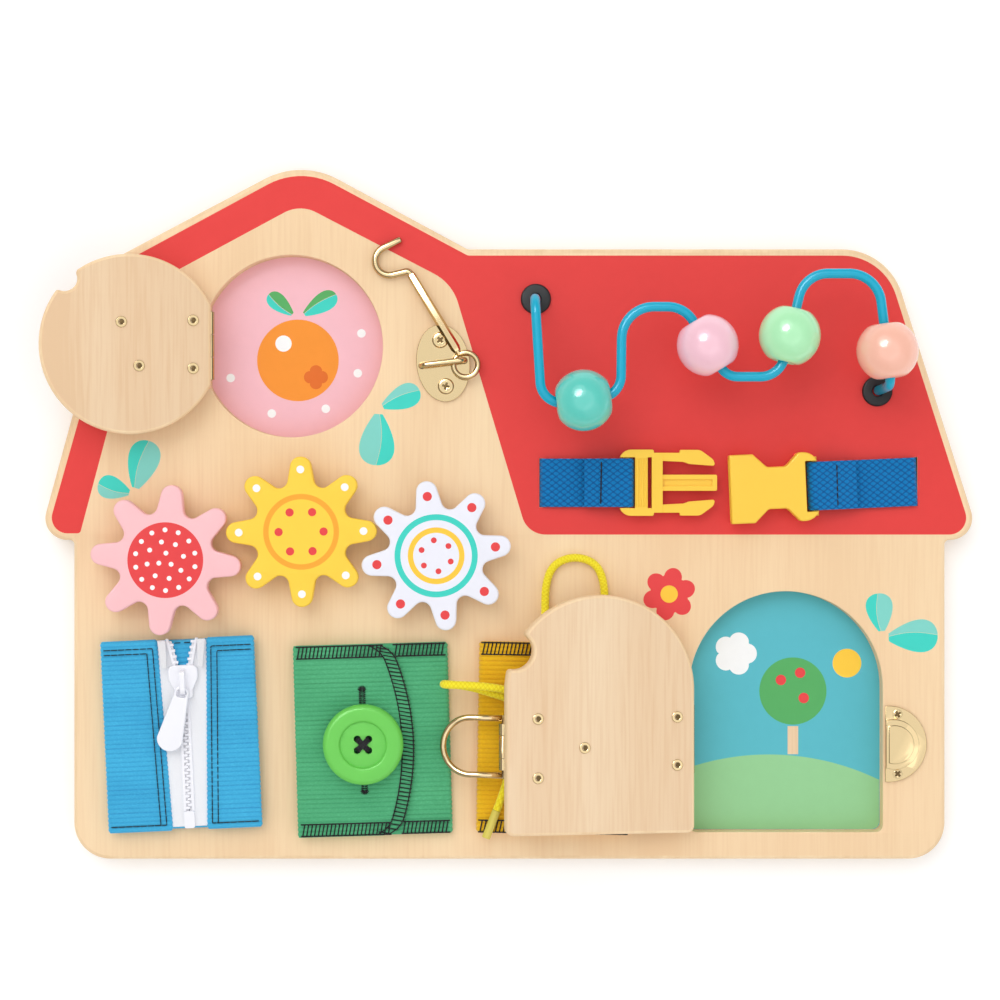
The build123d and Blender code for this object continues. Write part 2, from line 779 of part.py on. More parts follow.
# hasp and keeper -----------------------------------------------------------------------
hasp_axis_plane = hasp_plane.offset(hasp_barrel_lift)
hasp_profile = side_plane(hasp_axis_plane)
with BuildPart() as hasp_plate:
    setback = hasp_barrel_radius + 0.4
    with BuildSketch(hasp_plane):
        with BuildLine():
            half = hasp_plate_width / 2
            FilletPolyline(
                (-setback, -half),
                (-setback, half),
                (-hasp_screw_near - 4, half),
                (-hasp_plate_length, 3),
                (-hasp_plate_length, -3),
                (-hasp_screw_near - 4, -half),
                radius=(1.5, 1.5, 6, 2.5, 2.5, 6),
                close=True,
            )
        make_face()
    extrude(amount=hasp_thickness)
    for end in (-1, 1):
        start = end * hasp_barrel_length / 2 - (hasp_barrel_length / 4 if end > 0 else 0)
        with BuildSketch(hasp_profile.offset(start)):
            Circle(hasp_barrel_radius)
            with Locations((-setback / 2 - 0.1, hasp_barrel_lift - hasp_thickness / 2)):
                Rectangle(setback + 0.2, hasp_thickness)
            with Locations((-hasp_barrel_radius * 0.75, hasp_barrel_lift / 2)):
                Rectangle(hasp_barrel_radius * 0.5, hasp_barrel_lift)
        extrude(amount=hasp_barrel_length / 4)
    with BuildSketch(hasp_profile.offset(-hasp_barrel_length)):
        Circle(0.9)
    extrude(amount=2 * hasp_barrel_length, mode=Mode.SUBTRACT)
    for seat in hasp_seats:
        extrude(disc(seat, screw_radius + fit_gap), amount=-hasp_thickness, mode=Mode.SUBTRACT)
finish(hasp_plate.part, "hasp_plate")

# The loop hangs from the hasp's barrel, its bar running through the two knuckles.
droop = radians(loop_droop)
loop_plane = Plane(
    origin=hasp_axis_plane.origin,
    x_dir=hasp_axis_plane.x_dir * cos(droop) + hasp_axis_plane.z_dir * sin(droop),
    z_dir=hasp_axis_plane.z_dir * cos(droop) - hasp_axis_plane.x_dir * sin(droop),
)
with BuildPart() as hasp_loop:
    bend = loop_width / 2 - loop_wire_radius
    with BuildLine(loop_plane) as bow:
        FilletPolyline(
            (0.6, bend),
            (loop_length - loop_wire_radius, bend),
            (loop_length - loop_wire_radius, -bend),
            (0.6, -bend),
            radius=bend - 0.01,
        )
    with BuildSketch(Plane(origin=bow.line @ 0, z_dir=bow.line % 0)):
        Circle(loop_wire_radius)
    sweep(path=bow.line)
    with BuildSketch(side_plane(loop_plane).offset(-bend - loop_wire_radius)):
        Circle(0.85)
    extrude(amount=loop_width)
    with BuildSketch(side_plane(loop_plane).offset(-hasp_barrel_length / 4 + hinge_play)):
        Circle(hasp_barrel_radius)
    extrude(amount=hasp_barrel_length / 2 - 2 * hinge_play)
finish(hasp_loop.part, "hasp_loop")


def half_moon(depth, height):
    # a circle cut by a chord: the chord on local X = 0, bulging to +X
    radius = (height**2 / 4 + depth**2) / (2 * depth)
    with BuildSketch(mode=Mode.PRIVATE) as moon:
        with Locations((depth - radius, 0)):
            Circle(radius)
        with Locations((-radius, 0)):
            Rectangle(2 * radius, 2 * radius + 2 * depth, mode=Mode.SUBTRACT)
    return moon.sketch


with BuildPart() as keeper_plate:
    with BuildSketch(keeper_plane):
        add(half_moon(keeper_depth, keeper_height))
    extrude(amount=keeper_thickness)
    with BuildSketch(keeper_plane):
        add(half_moon(keeper_boss_depth, keeper_boss_height))
    extrude(amount=keeper_thickness + keeper_boss_rise)
    with BuildSketch(local_plane(keeper_plane, keeper_step_inset / 2, 0)):
        add(
            half_moon(
                keeper_boss_depth - 1.5 * keeper_step_inset, keeper_boss_height - 2 * keeper_step_inset
            )
        )
    extrude(amount=keeper_thickness + keeper_boss_rise + keeper_step_rise)
    for seat in keeper_seats:
        extrude(disc(seat, screw_radius + fit_gap), amount=-keeper_thickness, mode=Mode.SUBTRACT)
finish(keeper_plate.part, "keeper_plate")

# gears ---------------------------------------------------------------------------------
lobe_reach = gear_tip_reach - gear_lobe_round
lobe_root = gear_lobe_round + lobe_reach * sin(radians(gear_lobe_taper))
axle_z = board_top + gear_standoff + gear_axle_grip
for name, plane in gear_planes.items():
    with BuildPart() as gear:
        with BuildSketch(plane) as face:
            with BuildSketch(mode=Mode.PRIVATE) as lobe:
                Circle(lobe_root)
                with Locations((lobe_reach, 0)):
                    Circle(gear_lobe_round)
                make_hull()
            with PolarLocations(0, gear_lobes):
                add(lobe.sketch)
            valleys = face.vertices().sort_by(lambda v: (Vector(v) - plane.origin).length)
            fillet(valleys[:gear_lobes], gear_valley_round)
        extrude(amount=gear_thickness)
        fillet(gear.faces().filter_by(Plane.XY).edges(), gear_edge_round)
        extrude(disc(plane, gear_axle_radius), amount=gear_axle_grip, mode=Mode.SUBTRACT)
    finish(gear.part, f"{name}_gear")
    with BuildPart() as axle:
        with BuildSketch(Plane(origin=(plane.origin.X, plane.origin.Y, axle_z))):
            Circle(gear_axle_radius)
        extrude(amount=-(axle_z - back_thickness - fit_gap))
        with BuildSketch(Plane(origin=(plane.origin.X, plane.origin.Y, back_thickness + fit_gap))):
            Circle(axle_head_radius)
        extrude(amount=axle_head_height)
    finish(axle.part, f"{name}_gear_axle")

with BuildPart() as gear_spacers:
    with BuildSketch(Plane.XY.offset(board_top)):
        for plane in gear_planes.values():
            with Locations((plane.origin.X, plane.origin.Y)):
                Circle(spacer_radius)
                Circle(gear_axle_radius + fit_gap, mode=Mode.SUBTRACT)
    extrude(amount=gear_standoff - 2 * fit_gap)
finish(gear_spacers.part, "gear_spacers")

# bead wire -----------------------------------------------------------------------------
wire_z = board_top + maze_wire_height
wire_foot = back_thickness + 0.4
with BuildPart() as maze_wire:
    with BuildLine() as route:
        FilletPolyline(
            (*maze_left, wire_foot),
            *[(x, y, wire_z) for (x, y), _ in maze_corners],
            (*maze_right, wire_foot),
            radius=[bend for _, bend in maze_corners],
        )
    with BuildSketch(Plane(origin=route.line @ 0, z_dir=route.line % 0)):
        Circle(maze_wire_radius)
    sweep(path=route.line)
finish(maze_wire.part, "maze_wire")

with BuildPart() as grommets:
    for x, y in (maze_left, maze_right):
        with BuildSketch(Plane(origin=(x, y, board_top))):
            Circle(grommet_radius)
        extrude(amount=grommet_flange, taper=20)
        with BuildSketch(Plane(origin=(x, y, board_top))):
            Circle(grommet_body_radius)
        extrude(amount=-front_thickness + pocket_depth)
        with BuildSketch(Plane(origin=(x, y, back_thickness))):
            Circle(maze_wire_radius + grommet_play)
        extrude(amount=front_thickness + grommet_flange, mode=Mode.SUBTRACT)
finish(grommets.part, "grommets")

with BuildPart() as wire_push_nuts:
    for x, y in (maze_left, maze_right):
        with BuildSketch(Plane(origin=(x, y, wire_foot + 0.2))):
            Circle(push_nut_radius)
            Circle(maze_wire_radius + 2 * fit_gap, mode=Mode.SUBTRACT)
        extrude(amount=push_nut_thickness)
finish(wire_push_nuts.part, "wire_push_nuts")

for name, (run, along) in bead_places.items():
    (x0, y0), (x1, y1) = maze_corners[run][0], maze_corners[run + 1][0]
    centre = (x0 + (x1 - x0) * along, y0 + (y1 - y0) * along, wire_z)
    across = Plane(origin=centre, x_dir=(0, 0, 1), z_dir=(x1 - x0, y1 - y0, 0))
    with BuildPart() as bead:
        with BuildSketch(Plane(origin=centre, x_dir=across.z_dir, z_dir=across.y_dir)):
            Circle(bead_radius)
            Rectangle(bead_length, 2 * bead_radius, mode=Mode.INTERSECT)
            with Locations((0, -bead_radius + bead_bore_radius)):
                Rectangle(bead_length, 2 * bead_radius, mode=Mode.SUBTRACT)
        revolve(axis=Axis(centre, across.z_dir))
    finish(bead.part, f"{name}_bead")



# side-release buckle -------------------------------------------------------------------
buckle_z = board_top + band_rest_gap + female_thickness / 2
male_plane = turned_plane(male_x, male_y, buckle_z, male_turn)
female_plane = turned_plane(female_x, female_y, buckle_z, female_turn)

with BuildPart() as buckle_male:
    rib_end = male_rib_bar_x + male_rib_bar_width
    arm_inner = male_arm_outer - male_arm_thickness
    bar_gap = 2 * buckle_bar_radius + strap_thickness
    with BuildSketch(male_plane) as frame:
        with BuildLine():
            FilletPolyline(
                (0, -male_width / 2),
                (male_frame_length, -male_width / 2),
                (male_frame_length, -male_arm_outer),
                (male_frame_length + male_cross_bar_width, -male_arm_outer),
                (male_frame_length + male_cross_bar_width, male_arm_outer),
                (male_frame_length, male_arm_outer),
                (male_frame_length, male_width / 2),
                (0, male_width / 2),
                radius=(5.0, 0.8, 0, 0, 0, 0, 0.8, 5.0),
                close=True,
            )
        make_face()
        with Locations((male_rib_bar_x / 2, 0)):
            Rectangle(male_rib_bar_x, strap_width + 0.9, mode=Mode.SUBTRACT)
        with Locations(((rib_end + male_frame_length) / 2 - 0.4, 0)):
            Rectangle(male_frame_length - rib_end - 0.9, strap_width + 0.9, mode=Mode.SUBTRACT)
    extrude(amount=male_thickness / 2, both=True)
    # two arms with leaf-shaped barbs, and the grooved guide between them
    for side in (-1, 1):
        with BuildSketch(male_plane):
            with BuildLine():
                FilletPolyline(
                    (male_frame_length, side * arm_inner),
                    (male_barb_x + 1.6, side * (arm_inner - 0.6)),
                    (male_barb_x + 3.8, side * male_barb_inner * 1.12),
                    (male_length, side * male_barb_inner),
                    (male_length - 0.7, side * (male_barb_inner + 2.6)),
                    (male_length - 6.2, side * male_barb_outer),
                    (male_barb_x, side * male_barb_outer),
                    (male_barb_x, side * male_arm_outer),
                    (male_frame_length, side * male_arm_outer),
                    radius=(0, 1.0, 1.0, 0.8, 3.0, 4.0, 0.5, 0.5, 0),
                    close=True,
                )
            make_face()
        extrude(amount=male_thickness / 2 - 0.3, both=True)
    with BuildSketch(male_plane):
        with Locations((male_length / 2 + male_frame_length / 2 + 0.4, 0)):
            RectangleRounded(male_length - male_frame_length + 0.8, male_prong_width, 0.6)
    extrude(amount=male_thickness / 2 - 0.8, both=True)
    for face in (1, -1):
        with BuildSketch(male_plane.offset(face * (male_thickness / 2 - 0.8))):
            with Locations((male_length / 2 + male_frame_length / 2 + 1.0, 0)):
                RectangleRounded(male_length - male_frame_length - 4.2, male_groove_width, 0.5)
        extrude(amount=-face * 0.9, mode=Mode.SUBTRACT)
    # the webbing bar, and ribs across the flat bar
    with BuildSketch(side_plane(male_plane).offset(-male_width / 2 + 2)):
        with Locations((male_rib_bar_x / 2, 0)):
            Circle(buckle_bar_radius)
    extrude(amount=male_width - 4)
    rib_step = male_rib_bar_width / male_rib_count
    with BuildSketch(side_plane(male_plane).offset(-strap_width / 2)):
        for rib in range(male_rib_count):
            for face in (-1, 1):
                with Locations((male_rib_bar_x + (rib + 0.5) * rib_step, face * male_thickness / 2)):
                    Circle(0.28)
    extrude(amount=strap_width, mode=Mode.SUBTRACT)
finish(buckle_male.part, "buckle_male")

with BuildPart() as buckle_female:
    half = female_width / 2
    waist = female_waist_width / 2
    with BuildSketch(female_plane):
        with BuildLine():
            FilletPolyline(
                (0, -half),
                (female_mouth_length, -half),
                (female_waist_start, -waist),
                (female_waist_end, -waist),
                (female_flare_end, -half),
                (female_length, -half),
                (female_length, half),
                (female_flare_end, half),
                (female_waist_end, waist),
                (female_waist_start, waist),
                (female_mouth_length, half),
                (0, half),
                radius=(0.6, 1.0, 2.2, 2.2, 2.0, 6.4, 6.4, 2.0, 2.2, 2.2, 1.0, 0.6),
                close=True,
            )
        make_face()
    extrude(amount=female_thickness / 2, both=True)
    rims = buckle_female.faces().filter_by(Plane.XY).edges()
    fillet(rims, 0.9)
    with BuildSketch(female_plane.offset(-female_thickness / 2 + female_wall)):
        with Locations((female_cavity_length / 2 - 1, 0)):
            Rectangle(female_cavity_length + 2, 2 * female_cavity_half_width)
    extrude(amount=female_thickness - 2 * female_wall, mode=Mode.SUBTRACT)
    for side in (-1, 1):
        with BuildSketch(female_plane.offset(-female_thickness / 2 + female_wall / 2)):
            with Locations((female_cavity_length / 2 + 2, side * (male_prong_width / 2 + 1.1))):
                Rectangle(female_cavity_length - 2, 1.2)
        extrude(amount=female_thickness - female_wall)
    # the webbing slot, its end bar round and thinner than the body
    with BuildSketch(female_plane):
        with Locations(((female_slot_start + female_length + 1) / 2, 0)):
            RectangleRounded(female_length + 1 - female_slot_start, strap_width + 0.9, 0.5)
    extrude(amount=female_thickness, both=True, mode=Mode.SUBTRACT)
    with BuildSketch(side_plane(female_plane).offset(-half + 2)):
        with Locations((female_length - buckle_bar_radius - 0.4, 0)):
            Circle(buckle_bar_radius)
    extrude(amount=2 * half - 4)
finish(buckle_female.part, "buckle_female")

# straps --------------------------------------------------------------------------------
strap_axis_z = board_top + strap_thickness / 2 + band_rest_gap
loop_inner = buckle_bar_radius + strap_fold_gap


def strap(slot_plane, bar_x, bar_y):
    # webbing from its slot to a buckle bar: once round the bar, then stitched back on itself
    start = Vector(slot_plane.origin.X, slot_plane.origin.Y, strap_axis_z)
    bar = Vector(bar_x, bar_y, buckle_z)
    along = (bar - start).normalized()
    reach = (bar - start).length
    plane = Plane(origin=start, x_dir=along, z_dir=slot_plane.z_dir.cross(along).normalized())
    ply = strap_thickness
    loop_radius = loop_inner + ply
    with BuildPart() as web:
        with BuildSketch(plane):
            with Locations((reach / 2, 0)):
                Rectangle(reach, ply)
            Circle(ply / 2)
            with Locations((reach - loop_radius, ply + strap_fold_gap / 2)):
                Rectangle(strap_fold_length - loop_radius, ply, align=(Align.MAX, Align.CENTER))
            with Locations((reach - strap_stitch_inset, ply / 2)):
                Rectangle(strap_stitch_width, ply)
            with Locations((reach, 0)):
                Circle(loop_radius)
                Circle(loop_inner, mode=Mode.SUBTRACT)
        extrude(amount=strap_width / 2, both=True)
    return web.part


male_bar = male_plane.from_local_coords((male_rib_bar_x / 2, 0, 0))
female_bar = female_plane.from_local_coords((female_length - buckle_bar_radius - 0.4, 0, 0))
finish(strap(left_strap_plane, male_bar.X, male_bar.Y), "left_strap")
finish(strap(right_strap_plane, female_bar.X, female_bar.Y), "right_strap")

with BuildPart() as strap_tails:
    # each tail drops through its slot and lies stapled in the recess behind
    for plane in (left_strap_plane, right_strap_plane):
        profile = side_plane(plane)
        with BuildSketch(profile):
            with Locations((0, (front_thickness - band_rest_gap) / 2)):
                Rectangle(strap_thickness, front_thickness - band_rest_gap)
            with Locations(
                (-strap_tail_length / 2, front_thickness - band_rest_gap - strap_thickness / 2)
            ):
                Rectangle(strap_tail_length + strap_thickness, strap_thickness)
        extrude(amount=strap_width / 2, both=True)
finish(strap_tails.part, "strap_tails")


# fabric sleeves ------------------------------------------------------------------------
def sleeve_height(space, ply):
    return 2 * ply + space


def add_sleeve(plane, space, ply):
    # a flat sleeve of cloth round the board's activity, its sides folded round
    profile = side_plane(plane)
    outer = sleeve_height(space, ply)
    with BuildSketch(profile, mode=Mode.PRIVATE) as ring:
        with Locations((0, -outer / 2)):
            SlotOverall(band_width, outer)
            SlotOverall(band_width - 2 * ply, space, mode=Mode.SUBTRACT)
    extrude(ring.sketch, amount=band_height / 2, both=True)


band_z = board_top + band_rest_gap
blue_plane = turned_plane(blue_x, blue_y, band_z, blue_turn)
green_plane = turned_plane(green_x, green_y, band_z, green_turn)
mustard_plane = turned_plane(mustard_x, mustard_y, band_z, mustard_turn)
half_band = band_height / 2

with BuildPart() as blue_band:
    add_sleeve(blue_plane, blue_space, cloth)
    with BuildSketch(blue_plane.offset(cloth + blue_space / 2)):
        with BuildLine():
            Polyline(
                (zip_off_centre - zip_slot_bottom / 2, -half_band - 1),
                (zip_off_centre + zip_slot_bottom / 2, -half_band - 1),
                (zip_off_centre + zip_slot_top / 2, half_band + 1),
                (zip_off_centre - zip_slot_top / 2, half_band + 1),
                close=True,
            )
        make_face()
    extrude(amount=blue_space + cloth, mode=Mode.SUBTRACT)
finish(blue_band.part, "blue_band")

with BuildPart() as green_band:
    # the sleeve, with a curved flap folded over from its left side
    add_sleeve(green_plane, green_space, cloth)
    flap_z = sleeve_height(green_space, cloth) + band_rest_gap
    with BuildSketch(green_plane.offset(flap_z)):
        with BuildLine():
            Polyline(
                (flap_top_reach, half_band),
                (-band_width / 2 + 1.5, half_band),
                (-band_width / 2 + 1.5, -half_band),
                (flap_bottom_reach, -half_band),
            )
            ThreePointArc((flap_bottom_reach, -half_band), (flap_bulge, -2), (flap_top_reach, half_band))
        make_face()
    extrude(amount=cloth)
    with BuildSketch(green_plane.offset(flap_z - cloth)):
        with Locations((-band_width / 2 + 2.5, 0)):
            Rectangle(2, band_height)
    extrude(amount=2 * cloth)
finish(green_band.part, "green_band")

eyelet_places = [
    local_plane(mustard_plane, side * eyelet_half_span, row, sleeve_height(mustard_space, 1.0))
    for row in eyelet_rows
    for side in (-1, 1)
]
with BuildPart() as mustard_band:
    add_sleeve(mustard_plane, mustard_space, 1.0)
    for place in eyelet_places:
        hole = disc(place, eyelet_bore_radius + 0.6)
        extrude(hole, amount=-1.4, mode=Mode.SUBTRACT)
finish(mustard_band.part, "mustard_band")

with BuildPart() as lace_eyelets:
    for place in eyelet_places:
        extrude(disc(place, eyelet_radius), amount=eyelet_flange)
        extrude(disc(place, eyelet_bore_radius + eyelet_flange), amount=-eyelet_barrel)
    for place in eyelet_places:
        extrude(disc(place.offset(1), eyelet_bore_radius), amount=-3, mode=Mode.SUBTRACT)
    fillet(lace_eyelets.faces().sort_by(Axis.Z)[-6:].edges(), 0.2)
finish(lace_eyelets.part, "lace_eyelets")

# zip -----------------------------------------------------------------------------------
zip_plane = local_plane(blue_plane, zip_off_centre, 0)
tape_z = cloth + blue_space - band_rest_gap - tape_thickness
tooth_z = tape_z + tape_thickness / 2
part_slope = tan(radians(zip_part_angle))
part_y = slider_top - 0.6 * slider_length
part_spread = (half_band - part_y) * part_slope

with BuildPart() as zip_tapes:
    for side in (-1, 1):
        with BuildSketch(zip_plane.offset(tape_z)):
            with BuildLine():
                Polyline(
                    (side * tooth_reach, -half_band),
                    (side * tooth_reach, part_y),
                    (side * (tooth_reach + part_spread), half_band),
                    (side * (tape_half_width + part_spread), half_band),
                    (side * tape_half_width, -half_band),
                    close=True,
                )
            make_face()
        extrude(amount=tape_thickness)
finish(zip_tapes.part, "zip_tapes")

teeth_low = -half_band + 8
with BuildPart() as zip_teeth:
    # each row of teeth stands on a cord along the edge of its tape
    for side in (-1, 1):
        with BuildSketch(zip_plane.offset(tooth_z - tooth_thickness / 2)):
            with BuildLine():
                Polyline(
                    (side * tooth_reach / 2, teeth_low),
                    (side * tooth_reach / 2, part_y),
                    (side * (tooth_reach / 2 + part_spread), half_band),
                    (side * (tooth_reach + part_spread - 0.1), half_band),
                    (side * (tooth_reach - 0.1), part_y),
                    (side * (tooth_reach - 0.1), teeth_low),
                    close=True,
                )
            make_face()
            for tooth in range(int((half_band - teeth_low) / tooth_pitch)):
                along = teeth_low + tooth_pitch * (tooth + 0.75 + side / 4)
                spread = max(0, along - part_y) * part_slope
                reach = tooth_reach / 2 + tooth_overlap
                with Locations((side * (spread + reach / 2 - tooth_overlap + 0.1), along)):
                    Rectangle(reach + 0.2, tooth_width)
        extrude(amount=tooth_thickness)
finish(zip_teeth.part, "zip_teeth")

with BuildPart() as zip_bottom_stop:
    with BuildSketch(zip_plane.offset(tooth_z - tooth_thickness / 2)):
        with Locations((0, teeth_low - stop_length / 2 - 0.1)):
            RectangleRounded(2 * tooth_reach - 0.4, stop_length, 0.8)
    extrude(amount=tooth_thickness + 0.6)
finish(zip_bottom_stop.part, "zip_bottom_stop")

slider_low = tooth_z - tooth_thickness / 2 - slider_air - slider_plate
slider_high = tooth_z + tooth_thickness / 2 + slider_air + slider_plate
slider_plane = local_plane(zip_plane, 0, slider_top)
shoulder = slider_length - 0.6 * slider_length
with BuildPart() as zip_slider:
    with BuildSketch(slider_plane.offset(slider_low)):
        with BuildLine():
            FilletPolyline(
                (-slider_width / 2, 0),
                (slider_width / 2, 0),
                (slider_width / 2, -shoulder),
                (slider_foot_width / 2, -0.75 * slider_length),
                (slider_foot_width / 2, -slider_length),
                (-slider_foot_width / 2, -slider_length),
                (-slider_foot_width / 2, -0.75 * slider_length),
                (-slider_width / 2, -shoulder),
                radius=(2.6, 2.6, 3.0, 2.0, 1.5, 1.5, 2.0, 3.0),
                close=True,
            )
        make_face()
    extrude(amount=slider_high - slider_low)
    fillet(zip_slider.faces().sort_by(Axis.Z)[-1].edges(), 0.5)
    # the Y-shaped channel for the teeth, split by a wedge, and the slots for the tapes
    channel = tooth_reach + slider_air
    spread = 0.6 * slider_length * part_slope
    with BuildSketch(slider_plane.offset(slider_low + slider_plate)):
        with BuildLine():
            Polyline(
                (-channel, -slider_length - 1),
                (channel, -slider_length - 1),
                (channel, -0.6 * slider_length),
                (channel + spread * 1.1, 1),
                (-channel - spread * 1.1, 1),
                (-channel, -0.6 * slider_length),
                close=True,
            )
        make_face()
        with BuildLine():
            wedge = spread - tooth_overlap - slider_air
            Polyline((-wedge, 0), (wedge, 0), (0.3, -3.2), (-0.3, -3.2), close=True)
        make_face(mode=Mode.SUBTRACT)
    extrude(amount=slider_high - slider_low - 2 * slider_plate, mode=Mode.SUBTRACT)
    with BuildSketch(side_plane(slider_plane).offset(-slider_length - 1)):
        for side in (-1, 1):
            with Locations((side * (tooth_reach + slider_width / 2), -tooth_z)):
                Rectangle(slider_width, tape_thickness + 2 * slider_air)
    extrude(amount=slider_length + 2, mode=Mode.SUBTRACT)
    with BuildSketch(Plane(origin=slider_plane.origin, x_dir=slider_plane.y_dir, z_dir=slider_plane.x_dir)):
        with BuildLine():
            lift = slider_high - 0.3
            crown_start = -(slider_length - crown_length) / 2
            FilletPolyline(
                (crown_start, lift),
                (crown_start - 1.0, slider_high + crown_rise),
                (crown_start - crown_length + 1.0, slider_high + crown_rise),
                (crown_start - crown_length, lift),
                radius=(2.2, 2.2),
            )
            Line((crown_start - crown_length, lift), (crown_start, lift))
        make_face()
        with BuildLine():
            inner = slider_high + crown_rise - crown_thickness
            FilletPolyline(
                (crown_start - 1.6, slider_high),
                (crown_start - 2.2, inner),
                (crown_start - crown_length + 1.8, inner),
                (crown_start - crown_length + crown_leg, slider_high),
                radius=(1.0, 1.0),
            )
            Line((crown_start - crown_length + 1.2, slider_high), (crown_start - 1.6, slider_high))
        make_face(mode=Mode.SUBTRACT)
    extrude(amount=crown_width / 2, both=True)
finish(zip_slider.part, "zip_slider")

# the pull: a tab that hangs by its root bar, which turns under the crown
crown_leg_y = -(slider_length - crown_length) / 2 - crown_length + crown_leg
pull_root_y = crown_leg_y + pull_play + pull_bar / 2
pull_z = slider_high + (crown_rise - crown_thickness) / 2 - pull_thickness / 2
pull_plane = local_plane(slider_plane, 0, pull_root_y, pull_z, -pull_lean)
with BuildPart() as zip_pull:
    pull_hole_y = -(pull_bar + pull_hole_length) / 2
    pull_tip_y = -(pull_length - pull_bar / 2 - pull_end_radius)
    with BuildSketch(pull_plane):
        with Locations((0, pull_hole_y)):
            Circle(pull_neck_radius)
        with Locations((0, pull_tip_y)):
            Circle(pull_end_radius)
        make_hull()
        with Locations((0, pull_hole_y)):
            RectangleRounded(pull_hole_width, pull_hole_length, pull_hole_length / 3, mode=Mode.SUBTRACT)
        with Locations((0, pull_tip_y)):
            Circle(pull_end_hole_radius, mode=Mode.SUBTRACT)
    extrude(amount=pull_thickness)
    fillet(zip_pull.faces().sort_by(Axis.Z)[-1].edges(), pull_edge_round)
    fillet(zip_pull.faces().sort_by(Axis.Z)[0].edges(), pull_edge_round)
finish(zip_pull.part, "zip_pull")

# button --------------------------------------------------------------------------------
flap_top_z = band_z + sleeve_height(green_space, cloth) + band_rest_gap + cloth
button_plane = turned_plane(button_x, button_y, flap_top_z + button_air, 0)
with BuildPart() as button:
    with BuildSketch(button_plane):
        Circle(button_radius)
    extrude(amount=button_thickness)
    fillet(button.faces().sort_by(Axis.Z)[-1].edges(), 2.2)
    fillet(button.faces().sort_by(Axis.Z)[0].edges(), 1.2)
    extrude(
        disc(button_plane.offset(button_thickness), button_well_radius),
        amount=-button_well_depth,
        mode=Mode.SUBTRACT,
    )
    with BuildSketch(button_plane):
        with PolarLocations(button_hole_reach, 4, 45):
            Circle(button_hole_radius)
    extrude(amount=button_thickness, mode=Mode.SUBTRACT)
finish(button.part, "button")

with BuildPart() as button_thread:
    floor = button_plane.offset(button_thickness - button_well_depth)
    with BuildSketch(button_plane.offset(-0.55)):
        with PolarLocations(button_hole_reach, 4, 45):
            Circle(thread_radius)
    extrude(amount=button_thickness - button_well_depth + 0.55 + thread_radius / 2)
    extrude(disc(button_plane.offset(-0.05), button_hole_reach + 2 * thread_radius), amount=-0.5)
    extrude(disc(button_plane.offset(-0.05), shank_radius), amount=-button_air + 0.35)
    with BuildSketch(floor.offset(fit_gap)):
        for turn in (45, 135):
            SlotOverall(2 * button_hole_reach + thread_radius, 1.7 * thread_radius, rotation=turn)
    extrude(amount=1.6 * thread_radius)
finish(button_thread.part, "button_thread")


# lace ----------------------------------------------------------------------------------
def bend_radii(points):
    # the round of each corner that reaches 0.45 of its shorter run
    bends = []
    for before, at, after in zip(points, points[1:], points[2:]):
        run_in = Vector(at) - Vector(before)
        run_out = Vector(after) - Vector(at)
        turn = radians(run_in.get_angle(run_out))
        bends.append(0.45 * min(run_in.length, run_out.length) / tan(turn / 2))
    return bends


def cord(points, radius, name):
    bends = bend_radii(points)
    print(name, "bend radii", [round(bend, 1) for bend in bends])
    with BuildPart() as tube:
        with BuildLine() as route:
            FilletPolyline(*points, radius=bends)
        with BuildSketch(Plane(origin=route.line @ 0, z_dir=route.line % 0)):
            Circle(radius)
        sweep(path=route.line)
    return tube.part


def place_on_mustard(x, y, z):
    place = mustard_plane.from_local_coords((x, y, 0))
    return (place.X, place.Y, board_top + z)


def threaded(hole, front_side, under_side):
    # the two corners of the lace at an eyelet: above it and beneath it, each leaning to its run
    over = (hole[0] + lace_lean * front_side[0], hole[1] + lace_lean * front_side[1], lace_top)
    under = (hole[0] + lace_lean * under_side[0], hole[1] + lace_lean * under_side[1], lace_under)
    return over, under


top_row, middle_row, low_row = eyelet_rows
hole_left, hole_right = -eyelet_half_span, eyelet_half_span
top_left_over, top_left_under = threaded((hole_left, top_row), (1, 0), (0, -1))
mid_left_over, mid_left_under = threaded((hole_left, middle_row), (1, 0), (0, 1))
mid_right_over, mid_right_under = threaded((hole_right, middle_row), (-1, 0), (0, -1))
low_right_over, low_right_under = threaded((hole_right, low_row), (-1, 0), (0, 1))
low_left_over, low_left_under = threaded((hole_left, low_row), (1, 0), (0.45, 0.89))
top_right_over, top_right_under = threaded((hole_right, top_row), (-1, 0), (-0.45, -0.89))


def partway(start, end, along, aside):
    # a point along a run, set slightly to its side
    run = Vector(end) - Vector(start)
    spot = Vector(start) + run * along + run.cross(Vector(0, 0, 1)).normalized() * aside
    return (spot.X, spot.Y, spot.Z)


lace_route = [
    (-knot_width / 2 - 0.3, knot_y + 3.2, lace_top + 0.2),
    top_left_over,
    top_left_under,
    partway(top_left_under, mid_left_under, 0.5, lace_sway),
    mid_left_under,
    mid_left_over,
    (0, middle_row, lace_top + lace_crown),
    mid_right_over,
    mid_right_under,
    partway(mid_right_under, low_right_under, 0.5, -lace_sway),
    low_right_under,
    low_right_over,
    (0, low_row, lace_top + lace_crown),
    low_left_over,
    low_left_under,
    partway(low_left_under, top_right_under, 0.25, lace_sway),
    partway(low_left_under, top_right_under, 0.5, -lace_sway),
    partway(low_left_under, top_right_under, 0.77, lace_sway),
    top_right_under,
    top_right_over,
    (knot_width / 2 + 0.3, knot_y + 3.2, lace_top + 0.2),
]
finish(cord([place_on_mustard(*point) for point in lace_route], lace_radius, "lace"), "lace_crossing")

